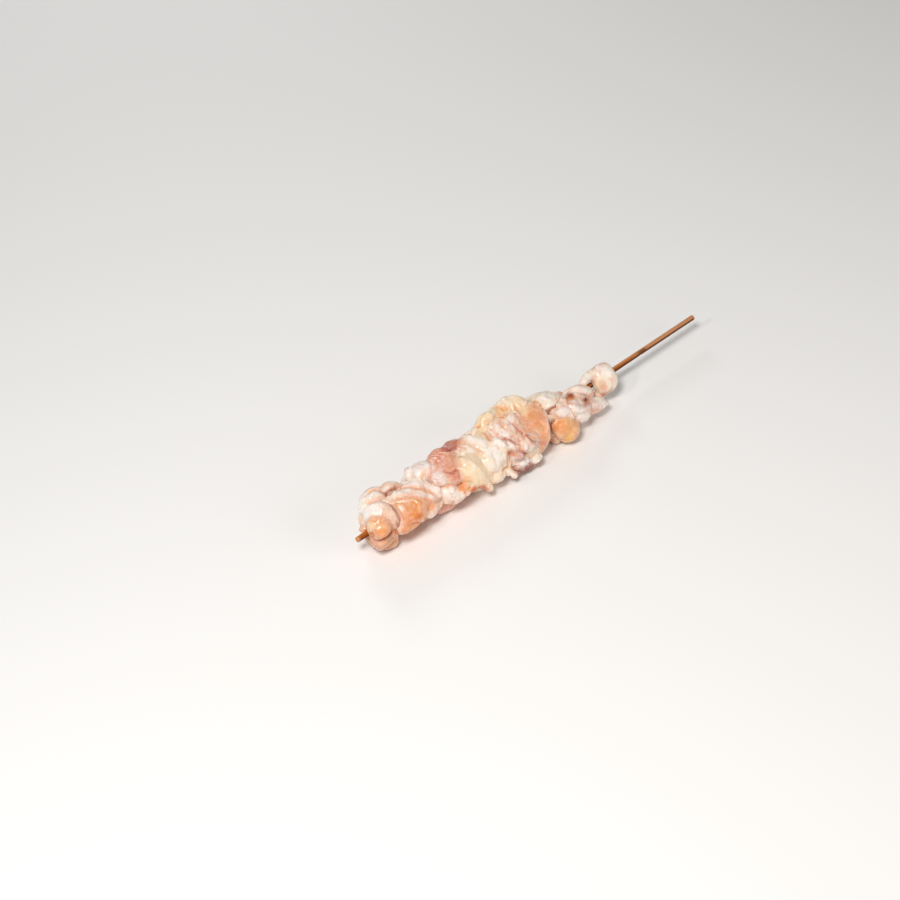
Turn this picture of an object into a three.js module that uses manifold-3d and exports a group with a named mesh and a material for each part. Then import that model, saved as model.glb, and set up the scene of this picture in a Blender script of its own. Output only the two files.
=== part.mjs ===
// A chicken kebab skewer: raw thigh meat, skin and fat folded and threaded on a bamboo stick, lying
// on its side. Millimetres, +Z up. The stick runs along X from its tip (-X) to its bare handle (+X),
// and -Y is the shown side.
// A place on the skewer is given round the stick: `at` is the distance from the tip, `turn` the angle
// in degrees from straight up towards the shown side (180 is underneath), and `reach` the distance
// from the stick's middle.
import * as THREE from "three";
import { mergeVertices } from "three/addons/utils/BufferGeometryUtils.js";
import Module from "manifold-3d";

const wasm = await Module();
wasm.setup();

// ---- driving dimensions -------------------------------------------------------------------------

const STICK = { length: 250, radius: 1.5, chamfer: 0.35, sides: 14 };
const AXIS_HEIGHT = 13.4; // of the stick's middle over the surface that the meat lies on
const GAP = 0.3; // between two pieces that touch
const BORE_SIDES = 7;
const BORE_ROOM = 1.5; // of the gap, at the corners of the bore
const MERGE = 1e-4; // closer points are one

const DETAIL = { lump: 2, small: 1, sheet: 2, rollSides: 7, rollRings: 8 };
const SMALL_SIZE = 9; // a lump no longer than this has fewer faces

const SWELLS = { waves: 5, fewest: 2, spread: 3.2, share: 1 / 3, warmUp: 4 };
const RANDOM = { multiplier: 16807, modulus: 2147483647, step: 7919, start: 17 };
const GROOVE = { depth: 0.16, slant: 0.5 }; // of a fold across a lump, as a share of its size
const SHEET_OUTLINE = 0.12; // how far a sheet's outline swells, as a share of its size
const ROLL_ENDS = 0.7; // 0 leaves a roll's ends pointed, 1 square

const TISSUES = {
  bamboo: { color: "#b98a55", roughness: 0.7 },
  flesh: { color: "#e8b08e", roughness: 0.3 },
  pink: { color: "#dc9c8c", roughness: 0.3 },
  skin: { color: "#ecd3c6", roughness: 0.28 },
  cream: { color: "#f0dfc0", roughness: 0.35 },
  yellow: { color: "#eecb8d", roughness: 0.3 },
};

// ---- places and shapes --------------------------------------------------------------------------

/** The point at a distance along the stick, an angle round it and a distance out from it. */
function place(at, turn, reach) {
  const angle = THREE.MathUtils.degToRad(turn);
  return new THREE.Vector3(at, -reach * Math.sin(angle), reach * Math.cos(angle));
}

/** The three directions at an angle round the stick: round it, along it and out from it. */
function directions(turn) {
  const angle = THREE.MathUtils.degToRad(turn);
  return {
    round: new THREE.Vector3(0, -Math.cos(angle), -Math.sin(angle)),
    along: new THREE.Vector3(1, 0, 0),
    out: new THREE.Vector3(0, -Math.sin(angle), Math.cos(angle)),
  };
}

/** A soft, uneven swelling between about -1 and 1 over space, the same for the same seed. */
function swelling(seed) {
  let state = seed * RANDOM.step + RANDOM.start;
  const random = () => {
    state = (state * RANDOM.multiplier) % RANDOM.modulus;
    return state / RANDOM.modulus;
  };
  for (let i = 0; i < SWELLS.warmUp; i++) random();
  const waves = Array.from({ length: SWELLS.waves }, () => ({
    direction: new THREE.Vector3(random() - 0.5, random() - 0.5, random() - 0.5).normalize(),
    count: SWELLS.fewest + SWELLS.spread * random(),
    phase: 2 * Math.PI * random(),
  }));
  const height = (p, wave) => Math.sin(wave.count * p.dot(wave.direction) + wave.phase);
  return (p) => SWELLS.share * waves.reduce((sum, wave) => sum + height(p, wave), 0);
}

/** Moves each point of a closed three.js geometry by a function of its place on the unit sphere. */
function shaped(geometry, move) {
  geometry.deleteAttribute("normal");
  geometry.deleteAttribute("uv");
  const shape = mergeVertices(geometry, MERGE);
  const points = shape.attributes.position;
  const p = new THREE.Vector3();
  for (let i = 0; i < points.count; i++) {
    move(p.fromBufferAttribute(points, i));
    points.setXYZ(i, p.x, p.y, p.z);
  }
  return shape;
}

/** A rounded lump, `long` along the stick, `wide` round it and `deep` out from it, turned by `lean`. */
function lump({ at, turn, reach, long, wide, deep, lean = 0, square = 1, knobs = 0.09, folds = 0, seed = 1 }) {
  return (grow) => {
    const { round, along, out } = directions(turn);
    const centre = place(at, turn, reach);
    const half = new THREE.Vector3(wide / 2 + grow, long / 2 + grow, deep / 2 + grow);
    const swell = swelling(seed + at);
    const detail = long > SMALL_SIZE ? DETAIL.lump : DETAIL.small;
    return shaped(new THREE.IcosahedronGeometry(1, detail), (p) => {
      const crest = Math.abs(Math.sin(folds * (p.x + GROOVE.slant * p.y) + seed));
      const groove = folds ? GROOVE.depth * (1 - crest) ** 2 : 0;
      const size = 1 + knobs * swell(p) - groove;
      const box = [p.x, p.y, p.z].map((side) => Math.sign(side) * Math.abs(side) ** square * size);
      p.fromArray(box).multiply(half);
      p.applyAxisAngle(new THREE.Vector3(0, 0, 1), -THREE.MathUtils.degToRad(lean));
      const { x, y, z } = p;
      p.copy(centre).addScaledVector(round, x).addScaledVector(along, y).addScaledVector(out, z);
    });
  };
}

/** A sheet of skin laid round the stick: a flattened lump bent over the meat, with ruffled edges. */
function sheet({ at, turn, reach, long, wide, thick, lean = 0, ruffle = 0.5, waves = 2, seed = 1 }) {
  return (grow) => {
    const swell = swelling(seed + at);
    const angle = -THREE.MathUtils.degToRad(lean);
    return shaped(new THREE.IcosahedronGeometry(1, DETAIL.sheet), (p) => {
      const edge = p.x * p.x + p.y * p.y;
      const level = Math.sign(p.z) * Math.sqrt(Math.abs(p.z)) * (thick / 2 + grow);
      const outline = 1 + SHEET_OUTLINE * swell(new THREE.Vector3(p.x, p.y, 0));
      const u = p.x * outline * (wide / 2 + grow);
      const v = p.y * outline * (long / 2 + grow);
      const wave = ruffle * Math.sin(waves * Math.PI * (p.x + p.y) + seed) * (0.4 + 0.6 * edge);
      const round = u * Math.cos(angle) - v * Math.sin(angle);
      const along = u * Math.sin(angle) + v * Math.cos(angle);
      p.copy(place(at + along, turn + THREE.MathUtils.radToDeg(round / reach), reach + level + wave));
    });
  };
}

/** A roll of fat or skin along a curve through places [at, turn, reach, radius], rounded at its ends. */
function roll({ through, flat = 1, knobs = 0.08, seed = 1 }) {
  return (grow) => {
    const curve = new THREE.CatmullRomCurve3(through.map(([at, turn, reach]) => place(at, turn, reach)));
    const radii = new THREE.SplineCurve(through.map(([, , , radius], i) => new THREE.Vector2(i, radius)));
    const swell = swelling(seed + through[0][0]);
    const sphere = new THREE.SphereGeometry(1, DETAIL.rollSides, DETAIL.rollRings);
    return shaped(sphere, (p) => {
      const share = Math.acos(THREE.MathUtils.clamp(p.y, -1, 1)) / Math.PI;
      const middle = curve.getPoint(share);
      const tangent = curve.getTangent(share);
      const out = new THREE.Vector3(0, middle.y, middle.z).normalize();
      const side = new THREE.Vector3().crossVectors(out, tangent).normalize();
      out.crossVectors(tangent, side);
      const ring = Math.hypot(p.x, p.z);
      const knob = 1 + knobs * swell(p.clone().multiplyScalar(2));
      const radius = (radii.getPoint(share).y + grow) * ring ** -ROLL_ENDS * knob;
      const across = ring ? p.x * radius : 0;
      const up = ring ? p.z * radius * flat : 0;
      const cap = grow * Math.cos(Math.PI * share) ** 5;
      p.copy(middle).addScaledVector(side, across).addScaledVector(out, up).addScaledVector(tangent, -cap);
    });
  };
}

// ---- solids -------------------------------------------------------------------------------------

/** A three.js geometry as a solid that can be joined and cut. */
function solid(geometry) {
  geometry.deleteAttribute("normal");
  geometry.deleteAttribute("uv");
  const shape = mergeVertices(geometry, MERGE);
  const mesh = new wasm.Mesh({
    numProp: 3,
    vertProperties: new Float32Array(shape.attributes.position.array),
    triVerts: new Uint32Array(shape.index.array),
  });
  return new wasm.Manifold(mesh);
}

/** The geometry of a solid. */
function geometryOf(body) {
  const mesh = body.getMesh();
  const geometry = new THREE.BufferGeometry();
  geometry.setAttribute("position", new THREE.BufferAttribute(mesh.vertProperties, 3));
  geometry.setIndex(new THREE.BufferAttribute(mesh.triVerts, 1));
  geometry.computeVertexNormals();
  return geometry;
}

/** All forms of a piece joined, each grown outwards by the same distance. */
function joined(forms, grow) {
  return forms.map((form) => solid(form(grow))).reduce((whole, part) => whole.add(part));
}

/** The largest of the bodies that cutting leaves. */
function largest(body) {
  return body.decompose().reduce((best, part) => (part.volume() > best.volume() ? part : best));
}

// ---- the stick ----------------------------------------------------------------------------------

/** The round bamboo stick, or the bore that it takes through the meat when it is grown. */
function stickGeometry(grow, sides) {
  const radius = STICK.radius + grow;
  const chamfer = STICK.chamfer;
  const profile = [
    new THREE.Vector2(0, -grow),
    new THREE.Vector2(radius - chamfer, -grow),
    new THREE.Vector2(radius, chamfer - grow),
    new THREE.Vector2(radius, STICK.length - chamfer + grow),
    new THREE.Vector2(radius - chamfer, STICK.length + grow),
    new THREE.Vector2(0, STICK.length + grow),
  ];
  return new THREE.LatheGeometry(profile, sides).rotateZ(-Math.PI / 2);
}

/** Everything over the surface that the meat lies on, as a box that cuts the flat spots where it rests. */
function roomOverTable() {
  const side = 2 * STICK.length;
  const box = new THREE.BoxGeometry(side, side, side);
  return solid(box.translate(STICK.length / 2, 0, side / 2 - AXIS_HEIGHT));
}

// ---- the pieces of meat, skin and fat -----------------------------------------------------------

/** The planes where one chunk is pressed against the next, each leaned towards a turn. */
const SEAMS = {
  tipToPeach: { at: 21, lean: 14, turn: 60 },
  peachToSalmon: { at: 47, lean: 12, turn: 200 },
  salmonToCream: { at: 71, lean: 10, turn: 20 },
  creamToMarbled: { at: 92, lean: 16, turn: 230 },
  marbledToEnd: { at: 124, lean: 14, turn: 100 },
};

const PIECES = [
  {
    name: "collar_skin",
    tissue: "skin",
    forms: [
      roll({
        through: [
          [8, -16, 8.4, 6.2],
          [12.5, 4, 11, 6.4],
          [18, 26, 12, 4.8],
          [18.8, 50, 11.4, 4],
          [17.5, 74, 10.2, 3.2],
        ],
      }),
      roll({
        through: [[8, -26, 11.6, 3.4], [13, -25, 13.8, 4], [19, -20, 14.4, 3.8], [25, -10, 13.4, 2.8]],
      }),
      lump({ at: 20, turn: -42, reach: 12.6, long: 16, wide: 12, deep: 12, lean: 10, knobs: 0.12 }),
      lump({ at: 29, turn: -32, reach: 12.2, long: 13, wide: 11, deep: 10, seed: 3 }),
      lump({ at: 20, turn: -78, reach: 8.5, long: 22, wide: 22, deep: 13, folds: 3, seed: 4 }),
    ],
  },
  {
    name: "layer_skin",
    tissue: "skin",
    forms: [
      sheet({ at: 31.5, turn: 9, reach: 13, long: 23, wide: 12, thick: 3, lean: 22, ruffle: 0.3, seed: 2 }),
      sheet({
        at: 40, turn: 32, reach: 11.6, long: 17, wide: 29, thick: 3.2, lean: -24, ruffle: 0.5, seed: 6,
      }),
    ],
  },
  {
    name: "pale_knob",
    tissue: "skin",
    forms: [
      lump({
        at: 49.5, turn: -22, reach: 12, long: 12.5, wide: 12, deep: 11, square: 0.75, knobs: 0.06, seed: 2,
      }),
      lump({ at: 44, turn: -36, reach: 12.6, long: 6, wide: 5.5, deep: 6, seed: 3 }),
      lump({ at: 47, turn: -70, reach: 10.4, long: 12, wide: 17, deep: 10, seed: 4 }),
    ],
  },
  {
    name: "yellow_fat",
    tissue: "yellow",
    forms: [
      roll({
        through: [[65.5, 10, 11.4, 6.4], [69, 36, 12.8, 7.6], [73, 72, 12.4, 7], [77.5, 108, 17, 2]],
        flat: 0.8,
        knobs: 0.05,
      }),
    ],
  },
  {
    name: "white_roll",
    tissue: "cream",
    forms: [
      roll({
        through: [
          [49, 56, 9, 3.6],
          [52, 76, 10.4, 4.6],
          [59, 88, 11, 4.6],
          [66, 87, 11.4, 4.2],
          [69.5, 74, 11.2, 3],
        ],
      }),
      lump({ at: 53.5, turn: 62, reach: 10.8, long: 9, wide: 11, deep: 9, knobs: 0.05, seed: 4 }),
    ],
  },
  {
    name: "cream_cap",
    tissue: "cream",
    forms: [
      roll({
        through: [
          [84, -14, 13, 3.6],
          [93, -24, 15, 5],
          [102, -27, 15.4, 4.4],
          [112, -28, 15.4, 6.2],
          [118.5, -14, 14.4, 6.4],
          [120.5, 8, 13.2, 5],
        ],
        knobs: 0.14,
      }),
    ],
  },
  {
    name: "peach_flap",
    tissue: "flesh",
    forms: [
      sheet({
        at: 115.5, turn: 62, reach: 14.8, long: 18, wide: 40, thick: 3, lean: 18, ruffle: 0.2, waves: 1, seed: 4,
      }),
    ],
  },
  {
    name: "orange_blob",
    tissue: "yellow",
    forms: [
      lump({
        at: 137.5, turn: 106, reach: 14.8, long: 12, wide: 13, deep: 11.5, lean: 20, knobs: 0.09, seed: 4,
      }),
      roll({ through: [[129, 68, 11, 2.8], [133, 84, 13, 3.6], [136, 98, 14, 4.2]] }),
    ],
  },
  {
    name: "small_loop",
    tissue: "skin",
    forms: [
      roll({
        through: [
          [144, 10, 5.4, 2.6],
          [151.5, 16, 8.2, 2.8],
          [157.5, 42, 8.4, 3.4],
          [161, 76, 7, 3],
          [155, 112, 7, 2.4],
        ],
        flat: 0.8,
      }),
    ],
  },
  {
    name: "big_loop",
    tissue: "skin",
    forms: [
      lump({
        at: 175.5, turn: 52, reach: 3, long: 14.5, wide: 17, deep: 10.5, square: 0.8, knobs: 0.05, seed: 3,
      }),
      roll({ through: [[159, 14, 3.6, 2], [163.5, 0, 6.4, 2.4], [170, -8, 6.6, 2.8], [176, 6, 5.2, 4]] }),
      roll({ through: [[177, 122, 5.4, 3.4], [168, 140, 7.5, 3.2], [157, 160, 9, 3]] }),
    ],
  },
  {
    name: "back_fat",
    tissue: "cream",
    forms: [
      roll({
        through: [
          [29, -94, 10.6, 4.6],
          [36, -106, 12.4, 5.2],
          [45, -118, 12.2, 5.4],
          [55, -136, 11.4, 4.8],
        ],
        knobs: 0.16,
      }),
    ],
  },
  {
    name: "back_skin",
    tissue: "skin",
    forms: [
      sheet({
        at: 74, turn: -92, reach: 13, long: 33, wide: 28, thick: 3.2, lean: 18, ruffle: 0.6, waves: 2, seed: 8,
      }),
      roll({
        through: [[61, -66, 11.6, 2.4], [71, -62, 13.2, 3.2], [82, -68, 13.4, 3], [90, -84, 13, 2.4]],
      }),
    ],
  },
  {
    name: "ivory_ruffle",
    tissue: "cream",
    forms: [
      lump({ at: 134, turn: 6, reach: 7.6, long: 20, wide: 16, deep: 14, knobs: 0.14, folds: 3, seed: 6 }),
      lump({ at: 131, turn: -48, reach: 7, long: 20, wide: 17, deep: 12, knobs: 0.12, folds: 2, seed: 3 }),
    ],
  },
  {
    name: "tip_flesh",
    tissue: "flesh",
    before: SEAMS.tipToPeach,
    forms: [
      lump({ at: 10.8, turn: 31, reach: 10.6, long: 12, wide: 11.5, deep: 11, knobs: 0.03 }),
      lump({ at: 8, turn: 62, reach: 10, long: 5.5, wide: 5, deep: 5 }),
      lump({ at: 15, turn: 50, reach: 3, long: 17, wide: 15, deep: 13 }),
      lump({ at: 12, turn: 106, reach: 6.6, long: 14, wide: 15, deep: 11, knobs: 0.14 }),
      lump({ at: 21, turn: 128, reach: 6.6, long: 18, wide: 13, deep: 9, seed: 3 }),
      lump({ at: 18, turn: 184, reach: 7, long: 24, wide: 20, deep: 15, folds: 2, seed: 4 }),
    ],
  },
  {
    name: "peach_flesh",
    tissue: "flesh",
    after: SEAMS.tipToPeach,
    before: SEAMS.peachToSalmon,
    forms: [
      lump({ at: 30, turn: 46, reach: 8, long: 30, wide: 19, deep: 15, lean: -16, knobs: 0.05 }),
      lump({ at: 40, turn: 10, reach: 3, long: 22, wide: 19, deep: 15, seed: 3 }),
      lump({ at: 34, turn: 250, reach: 6.5, long: 34, wide: 23, deep: 15, folds: 2, seed: 4 }),
      lump({ at: 37, turn: 172, reach: 4.6, long: 34, wide: 18, deep: 14, seed: 2 }),
    ],
  },
  {
    name: "salmon_flesh",
    tissue: "pink",
    after: SEAMS.peachToSalmon,
    before: SEAMS.salmonToCream,
    forms: [
      lump({ at: 60, turn: 4, reach: 8.6, long: 26, wide: 22, deep: 17, knobs: 0.05 }),
      roll({ through: [[56, -28, 13.8, 2.2], [63, -32, 15, 2.6], [71, -16, 13.8, 2.4]] }),
      lump({ at: 60, turn: 270, reach: 6.6, long: 34, wide: 21, deep: 14, folds: 3, seed: 2 }),
      lump({ at: 60, turn: 168, reach: 6.6, long: 32, wide: 21, deep: 14, seed: 5 }),
    ],
  },
  {
    name: "cream_fat",
    tissue: "cream",
    after: SEAMS.salmonToCream,
    before: SEAMS.creamToMarbled,
    forms: [
      lump({ at: 86, turn: 62, reach: 8.6, long: 30, wide: 23, deep: 17, knobs: 0.08, folds: 2, seed: 2 }),
      lump({ at: 85, turn: 102, reach: 12.4, long: 14, wide: 11, deep: 11, knobs: 0.16, seed: 3 }),
      lump({
        at: 82, turn: 4, reach: 8.8, long: 26, wide: 20, deep: 15, square: 0.85, knobs: 0.1, seed: 5,
      }),
      lump({ at: 84, turn: 168, reach: 6.8, long: 38, wide: 22, deep: 14, folds: 2, seed: 6 }),
      roll({ through: [[90, 96, 12.6, 3.6], [93, 104, 15.4, 2.6], [94.5, 109, 18.2, 1.4]] }),
      lump({ at: 82, turn: -92, reach: 6, long: 34, wide: 21, deep: 14, seed: 7 }),
    ],
  },
  {
    name: "marbled_flesh",
    tissue: "pink",
    after: SEAMS.creamToMarbled,
    before: SEAMS.marbledToEnd,
    forms: [
      lump({
        at: 103, turn: 26, reach: 8, long: 40, wide: 28, deep: 18, square: 0.8, knobs: 0.06, folds: 3, seed: 2,
      }),
      roll({ through: [[95, 108, 14.2, 2.6], [105, 112, 15.2, 3], [115, 110, 14.8, 2.6]] }),
      lump({ at: 108, turn: 90, reach: 8.4, long: 36, wide: 22, deep: 15, seed: 6 }),
      lump({ at: 105, turn: 176, reach: 7, long: 42, wide: 23, deep: 15, folds: 2, seed: 7 }),
      lump({ at: 108, turn: 264, reach: 7.6, long: 38, wide: 24, deep: 16, folds: 3, seed: 8 }),
    ],
  },
  {
    name: "end_folds",
    tissue: "skin",
    after: SEAMS.marbledToEnd,
    forms: [
      lump({
        at: 140.5, turn: 72, reach: 7.8, long: 31, wide: 19, deep: 16, knobs: 0.1, folds: 3, seed: 2,
      }),
      lump({ at: 128, turn: 50, reach: 3.6, long: 18, wide: 20, deep: 17, seed: 4 }),
      roll({
        through: [[136, 38, 11.4, 2.6], [143, 54, 13.6, 3.4], [151, 76, 12.8, 3.4], [156, 98, 12, 3]],
      }),
      roll({
        through: [[147, 82, 8.6, 4.6], [157, 98, 11.2, 4.4], [165, 108, 12.6, 3], [170, 112, 14, 1.4]],
      }),
      lump({ at: 138, turn: 165, reach: 7, long: 34, wide: 22, deep: 15, folds: 2, seed: 5 }),
      lump({ at: 141, turn: -146, reach: 5.6, long: 32, wide: 17, deep: 12, folds: 3, seed: 7 }),
    ],
  },
];

/** The box that fills everything on the handle's side of a seam, moved by half of the gap. */
function beyond({ at, lean, turn }, shift) {
  const side = 2 * STICK.length;
  const { along, out } = directions(turn);
  const tilt = along.clone().addScaledVector(out, Math.tan(THREE.MathUtils.degToRad(lean)));
  const turned = new THREE.Quaternion().setFromUnitVectors(along, tilt.normalize());
  const box = new THREE.BoxGeometry(side, side, side).translate(side / 2 + shift, 0, 0);
  return solid(box.applyQuaternion(turned).translate(at, 0, 0));
}

/** The stick and each piece of meat as a named mesh, each cut clear of the stick and of those before it. */
function buildSkewer() {
  const skewer = new THREE.Group();
  const addMesh = (name, tissue, geometry) => {
    const material = new THREE.MeshStandardMaterial({ ...TISSUES[tissue], metalness: 0 });
    const mesh = new THREE.Mesh(geometry, material);
    mesh.name = name;
    skewer.add(mesh);
  };
  addMesh("stick", "bamboo", stickGeometry(0, STICK.sides));
  const bore = solid(stickGeometry(GAP * BORE_ROOM, BORE_SIDES));
  const room = roomOverTable();
  const taken = [];
  for (const { name, tissue, forms, after, before } of PIECES) {
    let body = joined(forms, 0).intersect(room).subtract(bore);
    if (after) body = body.intersect(beyond(after, GAP / 2));
    if (before) body = body.subtract(beyond(before, -GAP / 2));
    for (const earlier of taken) body = body.subtract(earlier);
    addMesh(name, tissue, geometryOf(largest(body)));
    if (!after && !before) taken.push(joined(forms, GAP));
  }
  return skewer;
}

/** The skewer in its own frame: the middle of its footprint at the origin, resting on Z = 0. */
function buildPart() {
  const part = new THREE.Group();
  const skewer = buildSkewer();
  part.add(skewer);
  const box = new THREE.Box3().setFromObject(skewer);
  const middle = box.getCenter(new THREE.Vector3());
  skewer.position.set(-middle.x, -middle.y, -box.min.z);
  return part;
}

export default buildPart();
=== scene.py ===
"""A raw chicken kebab on its bamboo stick: the looks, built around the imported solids."""

import itertools
import logging
import math
from dataclasses import dataclass
from enum import Enum

import bmesh
import bpy
import numpy as np
from mathutils import Matrix, Vector
from mathutils.bvhtree import BVHTree


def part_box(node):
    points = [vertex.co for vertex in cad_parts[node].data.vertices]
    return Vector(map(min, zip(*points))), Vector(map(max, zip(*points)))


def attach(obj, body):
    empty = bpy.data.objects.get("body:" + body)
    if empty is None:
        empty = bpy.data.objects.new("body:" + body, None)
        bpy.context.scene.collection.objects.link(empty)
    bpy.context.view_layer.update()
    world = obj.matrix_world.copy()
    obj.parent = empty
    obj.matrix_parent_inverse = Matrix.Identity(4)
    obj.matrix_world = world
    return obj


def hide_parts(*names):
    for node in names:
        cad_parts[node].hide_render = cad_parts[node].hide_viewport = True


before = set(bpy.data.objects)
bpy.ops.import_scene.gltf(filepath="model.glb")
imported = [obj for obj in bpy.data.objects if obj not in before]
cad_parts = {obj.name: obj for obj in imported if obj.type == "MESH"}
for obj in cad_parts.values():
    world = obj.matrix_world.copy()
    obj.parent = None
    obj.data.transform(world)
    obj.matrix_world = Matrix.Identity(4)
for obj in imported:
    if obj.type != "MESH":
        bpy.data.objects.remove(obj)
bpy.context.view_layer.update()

MM = 0.001
TINY = 1e-6
SURFACE_REACH = 14  # mm from the stick's middle to the surface of the meat, about
TURN_ARC = math.radians(1) * SURFACE_REACH  # mm of surface for one degree round the stick
LOG = logging.getLogger("skewer")
Socket = bpy.types.NodeSocket


# ---- colours and marks ---------------------------------------------------------------------------


class Tone(Enum):
    """The colours of the meat, skin and fat, and of the painted shade in its creases, pits and gaps.
    """

    WHITE = (0.985, 0.95, 0.92)
    IVORY = (0.965, 0.885, 0.79)
    CREAM = (0.96, 0.85, 0.69)
    BUTTER = (0.99, 0.86, 0.69)
    YELLOW = (0.96, 0.73, 0.39)
    SKIN = (0.94, 0.79, 0.69)
    LILAC = (0.85, 0.67, 0.63)
    APRICOT = (0.94, 0.67, 0.43)
    PEACH = (0.93, 0.64, 0.43)
    HONEY = (0.93, 0.56, 0.24)
    ORANGE = (0.81, 0.38, 0.11)
    PINK = (0.90, 0.63, 0.51)
    SALMON = (0.86, 0.51, 0.39)
    ROSE = (0.70, 0.30, 0.21)
    BLOOD = (0.47, 0.08, 0.03)
    # TAN and BROWN serve mostly as painted shade in creases, pits and gaps
    TAN = (0.66, 0.35, 0.15)
    BROWN = (0.40, 0.17, 0.06)

    def linear(self) -> np.ndarray:
        """The colour as linear light."""
        value = np.array(self.value)
        return np.where(value > 0.04045, ((value + 0.055) / 1.055) ** 2.4, value / 12.92)


class Mark(Enum):
    """What a stroke does to the surface."""

    CREASE = "a groove"
    RIDGE = "a rounded fold"
    LIP = "the edge of a layer, raised on the left of its path"


@dataclass(frozen=True)
class Stroke:
    """A groove, fold or edge along a path of places (at, turn), in mm and degrees."""

    mark: Mark
    path: tuple
    width: float
    height: float
    tone: Tone | None = None


def crease(path: list, width: float, height: float, tone: Tone | None = None) -> Stroke:
    """A groove along a path of places."""
    return Stroke(Mark.CREASE, tuple(path), width, height, tone)


def ridge(path: list, width: float, height: float, tone: Tone | None = None) -> Stroke:
    """A rounded fold along a path of places."""
    return Stroke(Mark.RIDGE, tuple(path), width, height, tone)


def lip(path: list, width: float, height: float, tone: Tone | None = None) -> Stroke:
    """The edge of a layer along a path of places."""
    return Stroke(Mark.LIP, tuple(path), width, height, tone)


@dataclass(frozen=True)
class Patch:
    """A soft-edged area of another colour, some of them painted shade or a painted glint, centred at
    a place, in mm and degrees.
    """

    tone: Tone
    at: float
    turn: float
    long: float
    wide: float
    strength: float = 0.8
    lean: float = 0.0


@dataclass(frozen=True)
class Bead:
    """A small lump of fat or skin fused to the surface of a piece, in mm and degrees."""

    at: float
    turn: float
    long: float
    wide: float
    deep: float
    lift: float = 0.0
    lean: float = 0.0


# ---- places and noise ----------------------------------------------------------------------------


class StickAxis:
    """The stick's middle line, and places given along it, round it and out from it."""

    def __init__(self) -> None:
        """Finds the stick's tip from its solid."""
        low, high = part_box("stick")
        self.tip = Vector((low.x, (low.y + high.y) / 2, (low.z + high.z) / 2))
        self.length = high.x - low.x

    def out(self, turn: float) -> Vector:
        """The direction out from the stick at a turn in degrees."""
        angle = math.radians(turn)
        return Vector((0, -math.sin(angle), math.cos(angle)))

    def place(self, at: float, turn: float, reach: float) -> Vector:
        """The point at a distance from the tip, a turn and a reach, in mm and degrees."""
        return self.tip + MM * (Vector((at, 0, 0)) + reach * self.out(turn))

    def unwrap(self, points: np.ndarray) -> np.ndarray:
        """The places of points.

        Args:
            points: Points in metres.

        Returns:
            For each point its distance from the tip, turn in degrees, and reach.
        """
        local = (points - np.array(self.tip)) / MM
        turn = np.degrees(np.arctan2(-local[:, 1], local[:, 2]))
        return np.stack([local[:, 0], turn, np.hypot(local[:, 1], local[:, 2])], 1)


class Noise:
    """Smooth seeded noise over space, about -1 to 1."""

    SIZE = 256
    GAIN = 1.5

    def __init__(self, seed: int) -> None:
        """Draws the table of slopes.

        Args:
            seed: The seed of the draws.
        """
        draw = np.random.default_rng(seed)
        self.table = draw.permutation(self.SIZE)
        slopes = draw.normal(size=(self.SIZE, 3))
        self.slopes = slopes / np.linalg.norm(slopes, axis=1)[:, None]

    def __call__(self, points: np.ndarray) -> np.ndarray:
        """The noise at points.

        Args:
            points: Points in units of the noise's grain.

        Returns:
            One value for each point.
        """
        cell = np.floor(points).astype(int)
        part = points - cell
        ease = part**3 * (part * (part * 6 - 15) + 10)
        total = np.zeros(len(points))
        for corner in itertools.product((0, 1), repeat=3):
            key = (cell + corner) % self.SIZE
            pick = self.table[(self.table[key[:, 0]] + key[:, 1]) % self.SIZE]
            pick = self.table[(pick + key[:, 2]) % self.SIZE]
            slope = (self.slopes[pick] * (part - corner)).sum(1)
            total += slope * np.prod(np.where(corner, ease, 1 - ease), axis=1)
        return self.GAIN * total


class Cells:
    """Seeded cells that fill space, one for each unit on average."""

    SIZE = 64
    SEED_SHIFT = 500
    FAR = 9.0  # more than any distance to a middle

    def __init__(self, seed: int) -> None:
        """Draws each cell's middle."""
        draw = np.random.default_rng(seed + self.SEED_SHIFT)
        self.middles = draw.random((self.SIZE, self.SIZE, self.SIZE, 3))

    def __call__(self, points: np.ndarray) -> tuple[np.ndarray, np.ndarray]:
        """How far points lie from the cells' middles.

        Args:
            points: Points in units of a cell.

        Returns:
            The distance to the nearest middle and to the next one, for each point.
        """
        cell = np.floor(points).astype(int)
        near = np.full(len(points), self.FAR)
        second = near.copy()
        for step in itertools.product((-1, 0, 1), repeat=3):
            key = cell + step
            x, y, z = (key % self.SIZE).T
            away = np.linalg.norm(key + self.middles[x, y, z] - points, axis=1)
            second = np.minimum(second, np.maximum(near, away))
            near = np.minimum(near, away)
        return near, second


def smoothstep(low: float, high: float, value: np.ndarray) -> np.ndarray:
    """0 at low, 1 at high, and smooth between them."""
    share = np.clip((value - low) / (high - low), 0, 1)
    return share * share * (3 - 2 * share)


def smooth_path(path: np.ndarray, steps: int = 6) -> np.ndarray:
    """Adds points to a path, along a smooth curve through its own.

    Args:
        path: The path's points.
        steps: How many points stand for each one.

    Returns:
        The finer path.
    """
    if len(path) < 3:
        return path
    ends = np.vstack([2 * path[0] - path[1], path, 2 * path[-1] - path[-2]])
    share = np.linspace(0, 1, steps, endpoint=False)[:, None]
    parts = []
    for a, b, c, d in zip(ends, ends[1:], ends[2:], ends[3:]):
        cubic = -a + 3 * b - 3 * c + d
        square = 2 * a - 5 * b + 4 * c - d
        parts.append(0.5 * (2 * b + (c - a) * share + square * share**2 + cubic * share**3))
    return np.vstack([*parts, path[-1:]])


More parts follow.
